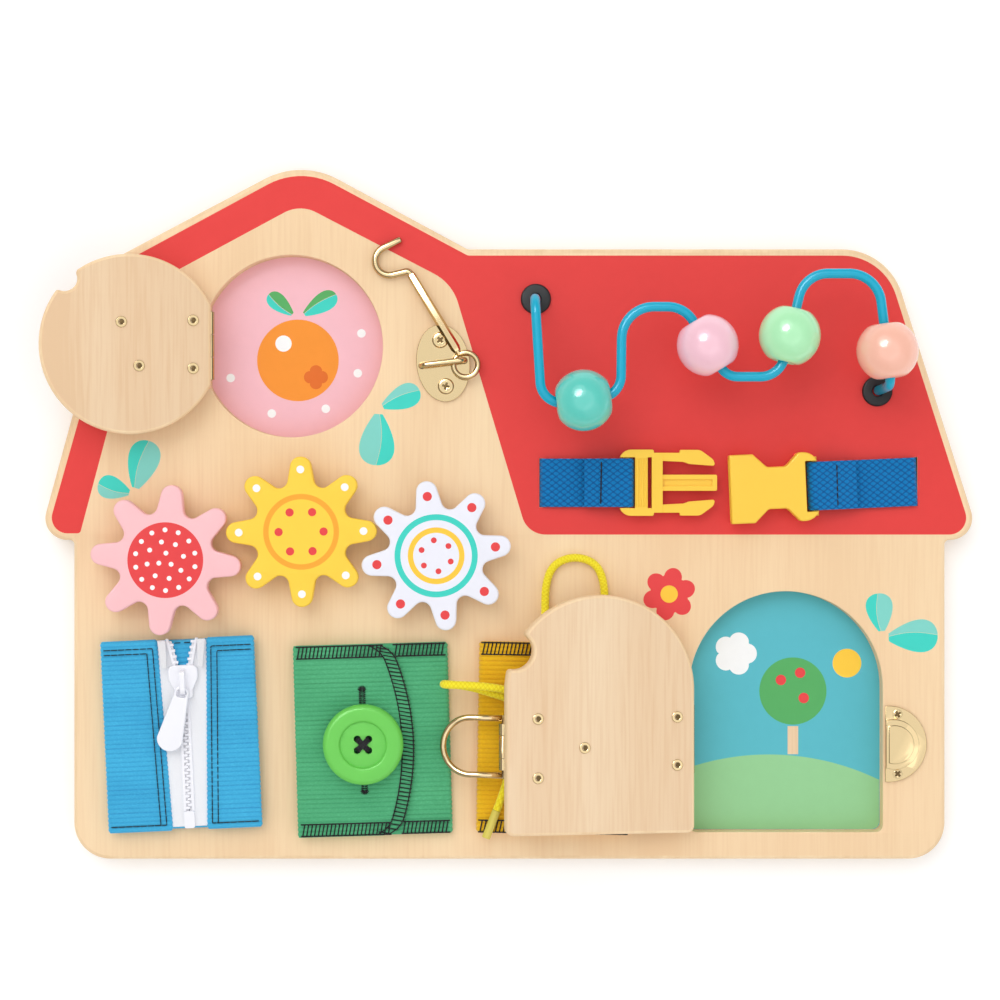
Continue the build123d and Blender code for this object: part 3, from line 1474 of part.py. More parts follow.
with BuildPart() as lace_knot:
    with BuildSketch(local_plane(mustard_plane, 0, knot_y, board_top - band_z + knot_low)):
        RectangleRounded(knot_width, knot_length, 2.8)
    extrude(amount=knot_height)
    fillet(lace_knot.faces().sort_by(Axis.Z)[-1].edges(), 1.6)
    fillet(lace_knot.faces().sort_by(Axis.Z)[0].edges(), 0.8)
finish(lace_knot.part, "lace_knot")

# The bow: a loop up the board, a folded loop to the left, and two ends.
on_board = board_top + lace_radius + 0.15
on_band = band_z + sleeve_height(mustard_space, 1.0) + lace_radius + 0.2
knot_mid = on_band + 0.7
top_loop = [
    (16.7, -69.9, knot_mid),
    (15.6, -60.0, on_band + 0.2),
    (14.9, -49.5, on_band),
    (14.6, -38.0, on_board + 0.2),
    (15.1, -27.5, on_board),
    (18.5, -20.2, on_board),
    (27.0, -17.2, on_board),
    (35.6, -20.0, on_board),
    (39.0, -27.5, on_board),
    (39.3, -38.0, on_board + 0.2),
    (35.5, -49.5, on_band),
    (28.7, -60.0, on_band + 0.2),
    (22.0, -69.0, knot_mid),
]
finish(cord(top_loop, lace_radius, "top loop"), "lace_loop_top")

fold_rise = 6.4
left_loop = [
    (12.9, -76.2, knot_mid + 1.3),
    (4.8, -73.2, on_band + 3.2),
    (-5.0, -70.9, on_band + 4.0),
    (-16.0, -69.8, on_band + 4.9),
    (-26.8, -69.5, on_band + fold_rise - 0.4),
    (-27.1, -69.5, on_band - 0.4),
    (-16.5, -70.6, on_band - 0.2),
    (-6.5, -73.6, on_band),
    (4.0, -77.0, on_band + 0.1),
    (13.2, -79.0, on_band + 0.2),
]
finish(cord(left_loop, lace_radius, "left loop"), "lace_loop_left")

left_end = [
    (17.6, -82.3, on_band + 0.1),
    (9.8, -84.6, on_band),
    (3.4, -89.4, on_band),
    (0.8, -99.5, on_band),
    (-1.2, -111.0, on_band),
    (-5.3, -121.5, on_band),
]
right_end = [
    (24.6, -77.4, on_band + 0.1),
    (30.6, -79.8, on_band),
    (34.8, -85.6, on_band),
    (36.4, -93.0, on_band),
]
finish(cord(left_end, lace_radius, "left end"), "lace_end_left")
finish(cord(right_end, lace_radius, "right end"), "lace_end_right")

with BuildPart() as aglets:
    for before, at in (left_end[-2:], right_end[-2:]):
        along = (Vector(at) - Vector(before)).normalized()
        with BuildSketch(Plane(origin=Vector(at) + along * 0.1, z_dir=along)):
            Circle(aglet_radius)
        extrude(amount=aglet_length)
finish(aglets.part, "aglets")
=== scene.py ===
import bmesh
import bpy
import math
import numpy as np
from mathutils.geometry import tessellate_polygon
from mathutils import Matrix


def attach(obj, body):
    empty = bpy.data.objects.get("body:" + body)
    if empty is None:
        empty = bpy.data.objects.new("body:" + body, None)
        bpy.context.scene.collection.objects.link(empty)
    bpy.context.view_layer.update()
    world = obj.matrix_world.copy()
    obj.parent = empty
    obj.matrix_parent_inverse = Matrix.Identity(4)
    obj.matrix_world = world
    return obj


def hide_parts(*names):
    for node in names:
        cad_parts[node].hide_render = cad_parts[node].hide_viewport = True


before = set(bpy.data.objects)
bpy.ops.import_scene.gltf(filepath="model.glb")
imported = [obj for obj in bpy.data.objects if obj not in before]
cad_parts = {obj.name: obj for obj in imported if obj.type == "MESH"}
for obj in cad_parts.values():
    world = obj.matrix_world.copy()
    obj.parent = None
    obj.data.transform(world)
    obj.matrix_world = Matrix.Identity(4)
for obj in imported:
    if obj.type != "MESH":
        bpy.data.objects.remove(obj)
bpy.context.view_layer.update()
mm = 0.001
boardTop = 11.0


def tone(r, g, b):
    # a screen colour, 0 to 255, as linear light
    c = np.array([r, g, b]) / 255
    c = np.where(c <= 0.04045, c / 12.92, ((c + 0.055) / 1.055) ** 2.4)
    return (*map(float, c), 1.0)


# camera
view = {"x": -3.9, "y": 5.9, "height": 1111.0, "halfWidth": 206.6, "distance": 1100.0}
camera = bpy.data.cameras.new("camera")
cameraPiece = bpy.data.objects.new("camera", camera)
bpy.context.scene.collection.objects.link(cameraPiece)
cameraPiece.location = (view["x"] * mm, view["y"] * mm, view["height"] * mm)
camera.angle = 2 * math.atan(view["halfWidth"] / view["distance"])
camera.clip_start = 0.05
bpy.context.scene.camera = cameraPiece
bpy.context.scene.view_settings.view_transform = "Standard"


# node helpers
def feed(tree, socket, value):
    # sets a socket to a value, or wires another node's socket to it
    if hasattr(value, "is_output"):
        tree.links.new(value, socket)
    else:
        socket.default_value = value


def addNode(tree, kind, settings=None, inputs=None):
    # a node with its own settings, and its inputs set or wired
    node = tree.nodes.new(kind)
    for key, value in (settings or {}).items():
        setattr(node, key, value)
    for key, value in (inputs or {}).items():
        feed(tree, node.inputs[key], value)
    return node


def maths(tree, operation, *values, clamp=False):
    # one sum of numbers or sockets
    settings = {"operation": operation, "use_clamp": clamp}
    return addNode(tree, "ShaderNodeMath", settings, dict(enumerate(values))).outputs[0]


def mapped(tree, value, low, high, toLow=0.0, toHigh=1.0):
    # a value carried from low..high to toLow..toHigh, and held at both ends
    inputs = {"Value": value, "From Min": low, "From Max": high, "To Min": toLow, "To Max": toHigh}
    return addNode(tree, "ShaderNodeMapRange", {}, inputs).outputs[0]


def colourMix(tree, factor, first, second, blend="MIX"):
    # the first colour where the factor is 0, the second where it is 1
    settings = {"data_type": "RGBA", "blend_type": blend}
    return addNode(tree, "ShaderNodeMix", settings, {0: factor, 6: first, 7: second}).outputs[2]


def ownSpace(tree, scale=(1, 1, 1)):
    # the object's own coordinates, drawn out by the scale
    place = addNode(tree, "ShaderNodeTexCoord")
    inputs = {"Vector": place.outputs["Object"], "Scale": scale}
    return addNode(tree, "ShaderNodeMapping", {}, inputs).outputs[0]


def noise(tree, vector, scale, detail, **more):
    # a noise value of about 0.3 to 0.7 at a point
    inputs = {"Vector": vector, "Scale": scale, "Detail": detail, **more}
    return addNode(tree, "ShaderNodeTexNoise", {}, inputs).outputs[0]


# lamps
# key and fill hold a strength, a spread, a tilt and a turn
lamps = {"sky": 0.83, "background": 1.0, "key": (0.68, 50, 38, -150), "fill": (0.28, 60, 50, 40),
         "mirror": 1.15, "window": 12.0, "windowAim": (-0.35, 0.46, 0.816), "windowEdge": (0.962, 0.974),
         "mirrorFoot": (0.55, 0.5, 0.42), "mirrorTop": 0.78,
         "mirrorSteps": ((0.45, 0.12), (0.72, 0.3), (0.84, 1.0), (0.955, 0.9))}
world = bpy.data.worlds.new("studio")
bpy.context.scene.world = world
world.use_nodes = True
sky = world.node_tree
skyDim = sky.nodes["Background"]
skyDim.inputs["Color"].default_value = (1, 1, 1, 1)
skyDim.inputs["Strength"].default_value = lamps["sky"]
skyShown = addNode(sky, "ShaderNodeBackground", {}, {"Strength": lamps["background"]})
skyPath = addNode(sky, "ShaderNodeLightPath")
skyMix = addNode(sky, "ShaderNodeMixShader", {},
                 {0: skyPath.outputs["Is Camera Ray"], 1: skyDim.outputs[0], 2: skyShown.outputs[0]})
# polished metal and glossy beads see a bright roof over a darker band, and one bright window up to the left
skyWay = addNode(sky, "ShaderNodeTexCoord").outputs["Generated"]
skySplit = addNode(sky, "ShaderNodeSeparateXYZ", {}, {0: skyWay})
skyRamp = addNode(sky, "ShaderNodeValToRGB", {}, {0: skySplit.outputs["Z"]})
skyRamp.color_ramp.elements[0].color = (*lamps["mirrorFoot"], 1)
for share, value in lamps["mirrorSteps"]:
    skyRamp.color_ramp.elements.new(share).color = (value, value, value, 1)
skyRamp.color_ramp.elements[-1].color = (*[lamps["mirrorTop"]] * 3, 1)
skyAim = addNode(sky, "ShaderNodeVectorMath", {"operation": "DOT_PRODUCT"},
                 {0: skyWay, 1: lamps["windowAim"]})
skyWindow = mapped(sky, skyAim.outputs["Value"], *lamps["windowEdge"], 0.0, lamps["window"])
skyMirror = addNode(sky, "ShaderNodeBackground", {},
                    {"Strength": maths(sky, "ADD", skyWindow, lamps["mirror"]), "Color": skyRamp.outputs[0]})
skyGloss = addNode(sky, "ShaderNodeMixShader", {},
                   {0: skyPath.outputs["Is Glossy Ray"], 1: skyMix.outputs[0], 2: skyMirror.outputs[0]})
sky.links.new(skyGloss.outputs[0], sky.nodes["World Output"].inputs["Surface"])


def addSun(name, strength, spread, tilt, turn):
    # a distant lamp with soft shadows; all angles in degrees
    sun = bpy.data.lights.new(name, "SUN")
    sun.energy = strength
    sun.angle = math.radians(spread)
    piece = bpy.data.objects.new(name, sun)
    piece.rotation_euler = (math.radians(tilt), 0, math.radians(turn))
    bpy.context.scene.collection.objects.link(piece)


addSun("keyLamp", *lamps["key"])
addSun("fillLamp", *lamps["fill"])


# shader node groups
white, black = (1, 1, 1, 1), (0, 0, 0, 1)


def newGroup(name, ins, outs):
    # an empty group, the sockets that feed it and the sockets that it feeds
    group = bpy.data.node_groups.new(name, "ShaderNodeTree")
    for label, value in ins.items():
        kind = "NodeSocketColor" if isinstance(value, tuple) else "NodeSocketFloat"
        group.interface.new_socket(label, in_out="INPUT", socket_type=kind).default_value = value
    for label in outs:
        kind = "NodeSocketColor" if label == "Color" else "NodeSocketFloat"
        group.interface.new_socket(label, in_out="OUTPUT", socket_type=kind)
    return group, group.nodes.new("NodeGroupInput").outputs, group.nodes.new("NodeGroupOutput").inputs


# wood: broad drifting bands and fine dashes, both drawn out along the grain (Y)
woodGroup, ins, outs = newGroup("woodGrain", {"Pale": white, "Dark": black, "Bands": 26.0, "Strength": 0.6},
                                ("Color", "Height", "Gloss"))
woodBands = noise(woodGroup, ownSpace(woodGroup, (1, 0.09, 1)), ins["Bands"], 3.0,
                  Roughness=0.55, Distortion=0.6)
woodFine = noise(woodGroup, ownSpace(woodGroup, (1, 0.035, 1)), 900.0, 2.0)
woodSum = maths(woodGroup, "ADD", mapped(woodGroup, woodBands, 0.32, 0.72),
                mapped(woodGroup, woodFine, 0.42, 0.75, 0.0, 0.45), clamp=True)
woodAmount = maths(woodGroup, "MULTIPLY", woodSum, ins["Strength"])
feed(woodGroup, outs["Color"], colourMix(woodGroup, woodAmount, ins["Pale"], ins["Dark"]))
feed(woodGroup, outs["Height"], woodFine)
feed(woodGroup, outs["Gloss"], mapped(woodGroup, woodBands, 0.0, 1.0, 0.42, 0.62))

# a paint or plastic skin: faint mottling of colour, roughness and height
skinIns = {"Base": white, "Shade": 0.06, "Size": 160.0, "Smooth": 0.3, "Rough": 0.4}
skinGroup, ins, outs = newGroup("skin", skinIns, ("Color", "Height", "Gloss"))
skinNoise = noise(skinGroup, ownSpace(skinGroup), ins["Size"], 4.0)
skinDark = maths(skinGroup, "MULTIPLY", skinNoise, ins["Shade"])
feed(skinGroup, outs["Color"], colourMix(skinGroup, skinDark, ins["Base"], black))
feed(skinGroup, outs["Height"], skinNoise)
feed(skinGroup, outs["Gloss"], mapped(skinGroup, skinNoise, 0.0, 1.0, ins["Smooth"], ins["Rough"]))

# corduroy: painted shade in the valleys between ribs, from the piece's own rib attribute, and a short pile
pileGroup, ins, outs = newGroup("pile", {"Base": white, "ValleyShadeAndMottle": black, "Rib": 1.0}, ("Color", "Height"))
pileSpace = ownSpace(pileGroup, (0.5, 1, 1))
pileFine, pileBroad = noise(pileGroup, pileSpace, 2200.0, 2.0), noise(pileGroup, pileSpace, 90.0, 4.0)
pileValleyShade = mapped(pileGroup, ins["Rib"], 0.0, 0.75, 0.5, 0.0)
pileMottle = mapped(pileGroup, pileBroad, 0.35, 0.75, 0.0, 0.28)
pileSpeck = mapped(pileGroup, pileFine, 0.45, 0.8, 0.0, 0.35)
pileFirst = colourMix(pileGroup, pileValleyShade, ins["Base"], ins["ValleyShadeAndMottle"])
pileSecond = colourMix(pileGroup, pileMottle, pileFirst, ins["ValleyShadeAndMottle"])
feed(pileGroup, outs["Color"], colourMix(pileGroup, pileSpeck, pileSecond, white, "SOFT_LIGHT"))
feed(pileGroup, outs["Height"], pileFine)

# woven or braided yarns from the piece's own UV map: |sin(pi (u + v))| times |sin(pi (u - v))|, with painted
# shade in the gaps between them
yarnGroup, ins, outs = newGroup("yarns", {"Base": white, "GapShade": black, "Along": 100.0, "Across": 8.0},
                                ("Color", "Height"))
yarnPlace = addNode(yarnGroup, "ShaderNodeTexCoord")
yarnSplit = addNode(yarnGroup, "ShaderNodeSeparateXYZ", {}, {0: yarnPlace.outputs["UV"]})
yarnU = maths(yarnGroup, "MULTIPLY", yarnSplit.outputs[0], ins["Along"])
yarnV = maths(yarnGroup, "MULTIPLY", yarnSplit.outputs[1], ins["Across"])
yarnWaves = []
for operation in ("ADD", "SUBTRACT"):
    slant = maths(yarnGroup, "MULTIPLY", maths(yarnGroup, operation, yarnU, yarnV), math.pi)
    yarnWaves.append(maths(yarnGroup, "ABSOLUTE", maths(yarnGroup, "SINE", slant)))
yarnHigh = maths(yarnGroup, "MULTIPLY", *yarnWaves)
yarnGapShade = mapped(yarnGroup, yarnHigh, 0.0, 0.45, 0.85, 0.0)
feed(yarnGroup, outs["Color"], colourMix(yarnGroup, yarnGapShade, ins["Base"], ins["GapShade"]))
feed(yarnGroup, outs["Height"], yarnHigh)


# materials
def groupMaterial(name, group, values, bump, bumpDepth, shader=None, attribute=None):
    # a Principled shader whose colour, roughness and relief come from a group; the rib mask is an attribute
    mat = bpy.data.materials.new(name)
    mat.use_nodes = True
    tree = mat.node_tree
    bsdf = tree.nodes["Principled BSDF"]
    node = addNode(tree, "ShaderNodeGroup", {"node_tree": group}, values)
    if attribute:
        source = addNode(tree, "ShaderNodeAttribute", {"attribute_name": attribute})
        feed(tree, node.inputs["Rib"], source.outputs["Fac"])
    feed(tree, bsdf.inputs["Base Color"], node.outputs["Color"])
    if "Gloss" in node.outputs:
        feed(tree, bsdf.inputs["Roughness"], node.outputs["Gloss"])
    relief = {"Strength": bump, "Distance": bumpDepth, "Height": node.outputs["Height"]}
    feed(tree, bsdf.inputs["Normal"], addNode(tree, "ShaderNodeBump", {}, relief).outputs[0])
    for key, value in (shader or {}).items():
        bsdf.inputs[key].default_value = value
    return mat


def wood(name, pale, dark, bands, strength):
    # planed plywood: the bands count the grain's lines, the strength says how dark they are
    values = {"Pale": pale, "Dark": dark, "Bands": bands, "Strength": strength}
    shader = {"Specular IOR Level": 0.35}
    return groupMaterial(name, woodGroup, values, bump=0.12, bumpDepth=0.00015, shader=shader)


def printed(name, base):
    # ink on wood
    values = {"Base": base, "Shade": 0.05, "Size": 220.0, "Smooth": 0.42, "Rough": 0.56}
    shader = {"Specular IOR Level": 0.35}
    return groupMaterial(name, skinGroup, values, bump=0.05, bumpDepth=0.0001, shader=shader)


def gloss(name, base, smooth=0.10, rough=0.2, coat=0.0):
    # moulded plastic, or lacquer where it has a coat
    values = {"Base": base, "Shade": 0.04, "Size": 90.0, "Smooth": smooth, "Rough": rough}
    shader = {"Coat Weight": coat, "Coat Roughness": 0.03}
    return groupMaterial(name, skinGroup, values, bump=0.02, bumpDepth=0.0001, shader=shader)


def matt(name, base, shade, smooth, rough, bump):
    # rubber and thread
    values = {"Base": base, "Shade": shade, "Smooth": smooth, "Rough": rough}
    return groupMaterial(name, skinGroup, values, bump, bumpDepth=0.0002)


def metal(name, base, paintedAwayShade, smooth, rough):
    # polished plate: painted shade makes it paler where it faces the eye and deeper as it turns away
    values = {"Base": base, "Shade": 0.05, "Size": 300.0, "Smooth": smooth, "Rough": rough}
    mat = groupMaterial(name, skinGroup, values, bump=0.03, bumpDepth=0.00005, shader={"Metallic": 1.0})
    tree = mat.node_tree
    bsdf = tree.nodes["Principled BSDF"]
    facing = addNode(tree, "ShaderNodeLayerWeight", {}, {"Blend": 0.32})
    plain = bsdf.inputs["Base Color"].links[0].from_socket
    feed(tree, bsdf.inputs["Base Color"], colourMix(tree, facing.outputs["Facing"], plain, paintedAwayShade))
    return mat


def corduroy(name, base, valley):
    # soft ribbed cloth, with painted shade between its ribs
    shader = {"Roughness": 0.95, "Specular IOR Level": 0.15, "Sheen Weight": 0.35, "Sheen Roughness": 0.5}
    values = {"Base": base, "ValleyShadeAndMottle": valley}
    return groupMaterial(name, pileGroup, values, bump=0.45, bumpDepth=0.0003, shader=shader, attribute="rib")


def yarn(name, base, gap, along, across, bump=0.5, depth=0.0005):
    # woven or braided yarns, with painted shade in their gaps; along and across count them over the piece's
    # UV map
    values = {"Base": base, "GapShade": gap, "Along": along, "Across": across}
    shader = {"Roughness": 0.8, "Specular IOR Level": 0.2, "Sheen Weight": 0.2}
    return groupMaterial(name, yarnGroup, values, bump, depth, shader)


boardWood = wood("boardWood", tone(249, 220, 179), tone(233, 194, 150), 24.0, 0.6)
edgeWood = wood("edgeWood", tone(248, 220, 180), tone(230, 194, 150), 60.0, 0.7)
doorWood = wood("doorWood", tone(243, 218, 184), tone(226, 188, 147), 15.0, 0.8)
backWood = wood("backWood", tone(238, 212, 172), tone(214, 180, 138), 30.0, 0.8)
roofRed = printed("roofRed", tone(228, 60, 57))
leafTeal = printed("leafTeal", tone(60, 212, 196))
leafMist = printed("leafMist", tone(128, 212, 200))
petalRed = printed("petalRed", tone(232, 66, 68))
sunYellow = printed("sunYellow", tone(255, 205, 62))
picturePink = printed("picturePink", tone(246, 190, 200))
pictureTeal = printed("pictureTeal", tone(88, 186, 200))
fruitOrange = printed("fruitOrange", tone(246, 148, 44))
fruitShade = printed("fruitShade", tone(226, 108, 30))
leafGreen = printed("leafGreen", tone(84, 172, 96))
cloudWhite = printed("cloudWhite", tone(250, 250, 250))
hillMint = printed("hillMint", tone(150, 208, 150))
gearPink = printed("gearPink", tone(252, 196, 200))
gearYellow = printed("gearYellow", tone(255, 212, 70))
gearWhite = printed("gearWhite", tone(240, 240, 250))
ringOrange = printed("ringOrange", tone(250, 170, 50))
# each metal's second colour is painted shade, taken on as its surface turns away from the eye
brass = metal("brass", tone(244, 218, 168), tone(100, 70, 26), 0.08, 0.16)
# a darker brass that is painted shade for the sleeve nut sockets and the crosses in the screw heads
brassRecessShade = metal("brassRecessShade", tone(112, 92, 62), tone(60, 48, 30), 0.3, 0.5)
steel = metal("steel", tone(214, 210, 200), tone(90, 88, 84), 0.2, 0.35)
wireTeal = gloss("wireTeal", tone(0, 172, 206), 0.2, 0.3)
rubberBlack = matt("rubberBlack", tone(24, 24, 27), 0.2, 0.45, 0.65, 0.1)
beadPaint = {
    "teal": gloss("beadTeal", tone(98, 210, 196), coat=0.6),
    "pink": gloss("beadPink", tone(252, 202, 216), coat=0.6),
    "green": gloss("beadMint", tone(180, 244, 190), coat=0.6),
    "peach": gloss("beadPeach", tone(255, 194, 172), coat=0.6),
}
# each band's second colour is painted shade between its ribs, and also the tone of its broad mottles
blueCord = corduroy("blueCord", tone(66, 176, 222), tone(34, 128, 184))
greenCord = corduroy("greenCord", tone(84, 176, 124), tone(44, 130, 86))
mustardCord = corduroy("mustardCord", tone(240, 186, 30), tone(196, 140, 12))
zipWhite = gloss("zipWhite", tone(246, 246, 252), 0.25, 0.35)
# the second colour is painted shade in the gaps between the tape's yarns
tapeWhite = yarn("tapeWhite", tone(254, 254, 255), tone(230, 230, 240), 60.0, 40.0, 0.5, 0.0002)
agletClear = gloss("agletClear", tone(222, 206, 92), 0.15, 0.25)
# the second colour is painted shade in the gaps between the webbing's yarns
webbingBlue = yarn("webbingBlue", tone(0, 122, 190), tone(0, 74, 136), 3.0, 8.0, 0.8, 0.0005)
buttonGreen = gloss("buttonGreen", tone(108, 206, 84), 0.28, 0.4)
threadBlack = matt("threadBlack", tone(26, 26, 30), 0.3, 0.7, 0.9, 0.3)
buckleYellow = gloss("buckleYellow", tone(253, 206, 66), 0.3, 0.42)
print("materials made")


# shapes
def makePiece(name, shape, body, replaced=()):
    # an object at the origin that rides a body and stands in for CAD nodes
    piece = bpy.data.objects.new(name, shape)
    bpy.context.scene.collection.objects.link(piece)
    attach(piece, body)
    if replaced:
        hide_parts(*replaced)
    return piece


class Batch:
    # gathers several shapes into one mesh
    def __init__(self):
        self.verts, self.faces, self.mats, self.uvs, self.count = [], [], [], [], 0

    def add(self, verts, faces, mat=0, uvs=None):
        # a shape's faces are renumbered past the points that are here already
        verts = np.asarray(verts, float).reshape(-1, 3)
        self.verts.append(verts)
        faces = faces if isinstance(faces, list) else faces.tolist()
        shifted = [[i + self.count for i in face] for face in faces]
        self.faces += shifted
        self.mats += [mat] * len(shifted) if np.isscalar(mat) else list(mat)
        self.uvs += [(0, 0)] * sum(map(len, shifted)) if uvs is None else list(map(tuple, uvs))
        self.count += len(verts)

    def piece(self, name, body, slotName, mats, replaced=(), smooth=40, withUv=False, ribs=None):
        # one smooth mesh with sharp edges where faces meet at more than the angle; ribs are values at points
        mesh = bpy.data.meshes.new(name)
        mesh.from_pydata((np.concatenate(self.verts) * mm).tolist(), [], self.faces)
        for mat in mats:
            mesh.materials.append(mat)
        mesh.polygons.foreach_set("material_index", np.array(self.mats, np.int32))
        if withUv:
            layer = mesh.uv_layers.new(name="UVMap")
            layer.data.foreach_set("uv", np.array(self.uvs, np.float32).ravel())
        if ribs is not None:
            layer = mesh.attributes.new("rib", "FLOAT", "POINT")
            layer.data.foreach_set("value", np.concatenate(ribs).astype(np.float32))
        mesh.polygons.foreach_set("use_smooth", np.ones(len(mesh.polygons), bool))
        mesh.validate()
        mesh.update()
        if smooth < 180:
            mesh.set_sharp_from_angle(angle=math.radians(smooth))
        return makePiece(name, mesh, body, replaced)


def gridFaces(rows, cols, wrapRows=False, wrapCols=False):
    # quads between neighbouring points of a rows x cols grid, and each corner's place as a share of the grid
    r = np.arange(rows if wrapRows else rows - 1)
    c = np.arange(cols if wrapCols else cols - 1)
    rr, cc = (a.ravel() for a in np.meshgrid(r, c, indexing="ij"))
    r2, c2 = (rr + 1) % rows, (cc + 1) % cols
    faces = np.stack([rr * cols + cc, rr * cols + c2, r2 * cols + c2, r2 * cols + cc], 1)
    corners = ((rr, cc), (rr, cc + 1), (rr + 1, cc + 1), (rr + 1, cc))
    uv = np.stack([np.stack(corner, 1) for corner in corners], 1) / [len(r), len(c)]
    return faces, uv.reshape(-1, 2)


def capped(grid, faces, uvs):
    # a tube's faces with one more face over each open end
    rows, cols = grid.shape[:2]
    last = (rows - 1) * cols
    faces = faces.tolist() + [list(range(cols))[::-1], list(range(last, last + cols))]
    return faces, np.concatenate([uvs, np.zeros((2 * cols, 2))])


def steps(path):
    # the length of each straight step of a path
    return np.linalg.norm(np.diff(path, axis=0), axis=1)


def unit(vectors):
    # each vector at a length of 1
    return vectors / np.linalg.norm(vectors, axis=-1, keepdims=True)


def heading(degrees):
    # the direction at an angle from X
    a = math.radians(degrees)
    return np.array([math.cos(a), math.sin(a)])


def roundedPath(corners, radii, closed=False, step=6.0):
    # straight runs joined by tangent arcs: each corner is cut back by radius * tan(half turn)
    p = np.array(corners, float)
    n = len(p)
    radii = np.broadcast_to(np.asarray(radii, float), (n if closed else n - 2,))
    path = [] if closed else [p[0]]
    for r, i in zip(radii, range(n) if closed else range(1, n - 1)):
        at = p[i]
        a, b = unit(p[i - 1] - at), unit(p[(i + 1) % n] - at)
        turn = math.pi - math.acos(np.clip(a @ b, -1, 1))
        if r <= 0 or turn < 1e-4:
            path.append(at)
            continue
        cut = r * math.tan(turn / 2)
        centre = at + unit(a + b) * r / math.cos(turn / 2)
        start, end = at + a * cut - centre, at + b * cut - centre
        t = np.linspace(0, 1, max(2, int(math.degrees(turn) / step) + 1))[:, None]
        path += list(centre + (np.sin((1 - t) * turn) * start + np.sin(t * turn) * end) / math.sin(turn))
    if not closed:
        path.append(p[-1])
    return np.array(path)


def arcPoints(x, y, r, start, end, count):
    # points at equal turns from one angle to another, in degrees
    a = np.radians(np.linspace(start, end, count))
    return np.stack([x + r * np.cos(a), y + r * np.sin(a)], 1)


def circle(x, y, r, count=96):
    # a closed ring of points
    return arcPoints(x, y, r, 0, 360, count + 1)[:-1]


def inset(loop, distance):
    # moves each point of a closed loop to its left by the distance, mitred
    e = np.roll(loop, -1, 0) - loop
    e /= np.maximum(np.linalg.norm(e, axis=1, keepdims=True), 1e-9)
    n = np.stack([-e[:, 1], e[:, 0]], 1)
    before = np.roll(n, 1, 0)
    return loop + distance * (n + before) / np.maximum(1 + np.sum(n * before, 1, keepdims=True), 0.35)


def wound(loop, left=True):
    # the loop turned so that its inside is on its left, or on its right; the sign of its area says which
    x, y = loop[:, 0], loop[:, 1]
    area = np.sum(x * np.roll(y, -1) - y * np.roll(x, -1))
    return loop if (area > 0) == left else loop[::-1]


def fillRegion(outer, holes, up=True):
    # triangles of a flat region, as indices into outer and then each hole, all turned the same way
    loops = [outer] + list(holes)
    flat = np.concatenate(loops)
    points = [[(float(x), float(y), 0.0) for x, y in loop] for loop in loops]
    tris = np.array(tessellate_polygon(points), int)
    a, b, c = flat[tris[:, 0]], flat[tris[:, 1]], flat[tris[:, 2]]
    area = (b[:, 0] - a[:, 0]) * (c[:, 1] - a[:, 1]) - (b[:, 1] - a[:, 1]) * (c[:, 0] - a[:, 0])
    flip = (area < 0) if up else (area > 0)
    tris[flip] = tris[flip][:, ::-1]
    return tris[np.abs(area) > 1e-9]


def basis(origin, xDir=(1, 0, 0), zDir=(0, 0, 1)):
    # a plane: its origin, and its X, Y and Z as rows, with Y the cross product of Z and X
    x, z = np.array(xDir, float), np.array(zDir, float)
    return np.array(origin, float), np.stack([x, np.cross(z, x), z])


def placed(plane, points):
    # points of a plane in the shared frame
    origin, axes = plane
    return origin + np.asarray(points, float) @ axes


def turned(x, y, z, degrees):
    # a level plane turned about Z
    return basis((x, y, z), (*heading(degrees), 0))


def addSlab(batch, plane, outline, low, high, rimTop=0.8, rimLow=0.4, holes=(), prints=(),
            sideMat=0, topMat=0, lowMat=0, holeRim=0.3):
    # a plate with rounded rims: a ring is the outline drawn in by rim * (1 - sin) at height rim * (1 - cos)
    loops = [wound(outline)] + [wound(hole, False) for hole in holes]
    holeRims = np.broadcast_to(holeRim, len(holes))
    rims = [(rimTop, rimLow)] + [(min(rimTop, r), min(rimLow, r)) for r in holeRims]
    a = np.linspace(0, math.pi / 2, 5)
    tops, lows, index = [], [], 0
    verts, faces, mats = [], [], []
    for loop, (top, foot) in zip(loops, rims):
        ins = np.concatenate([foot * (1 - np.sin(a)), top * (1 - np.cos(a))])
        zs = np.concatenate([low + foot * (1 - np.cos(a)), high - top * (1 - np.sin(a))])
        rings = np.stack([np.column_stack([inset(loop, d), np.full(len(loop), z)]) for d, z in zip(ins, zs)])
        quads, _ = gridFaces(len(rings), len(loop), wrapCols=True)
        verts.append(rings.reshape(-1, 3))
        faces += (quads + index).tolist()
        mats += [sideMat] * len(quads)
        lows.append((rings[0][:, :2], index))
        tops.append((rings[-1][:, :2], index + (len(rings) - 1) * len(loop)))
        index += rings.shape[0] * rings.shape[1]

    def cap(outer, inner, mat, up):
        # flat faces between an outer loop and the loops inside it
        ids = np.concatenate([np.arange(len(loop)) + at for loop, at in [outer] + inner])
        tris = ids[fillRegion(outer[0], [loop for loop, _ in inner], up)]
        faces.extend(tris.tolist())
        mats.extend([mat] * len(tris))

    def addLoop(loop, z):
        # a new loop of points, with the number of its first one
        nonlocal index
        verts.append(np.column_stack([loop, np.full(len(loop), z)]))
        entry = (loop, index)
        index += len(loop)
        return entry

    def printRegion(entry, children, mat, cuts):
        # a printed patch is its own faces, with the patches and holes inside it left out
        found = [(addLoop(child["loop"], high), child) for child in children]
        cap(entry, [e for e, _ in found] + [tops[1 + k] for k in cuts], mat, True)
        for e, child in found:
            printRegion(e, child.get("inside", ()), child["mat"], child.get("cuts", ()))

    taken = [k for child in prints for k in child.get("cuts", ())]
    printRegion(tops[0], prints, topMat, [k for k in range(len(holes)) if k not in taken])
    cap(lows[0], lows[1:], lowMat, False)
    batch.add(placed(plane, np.concatenate(verts)), faces, mats)


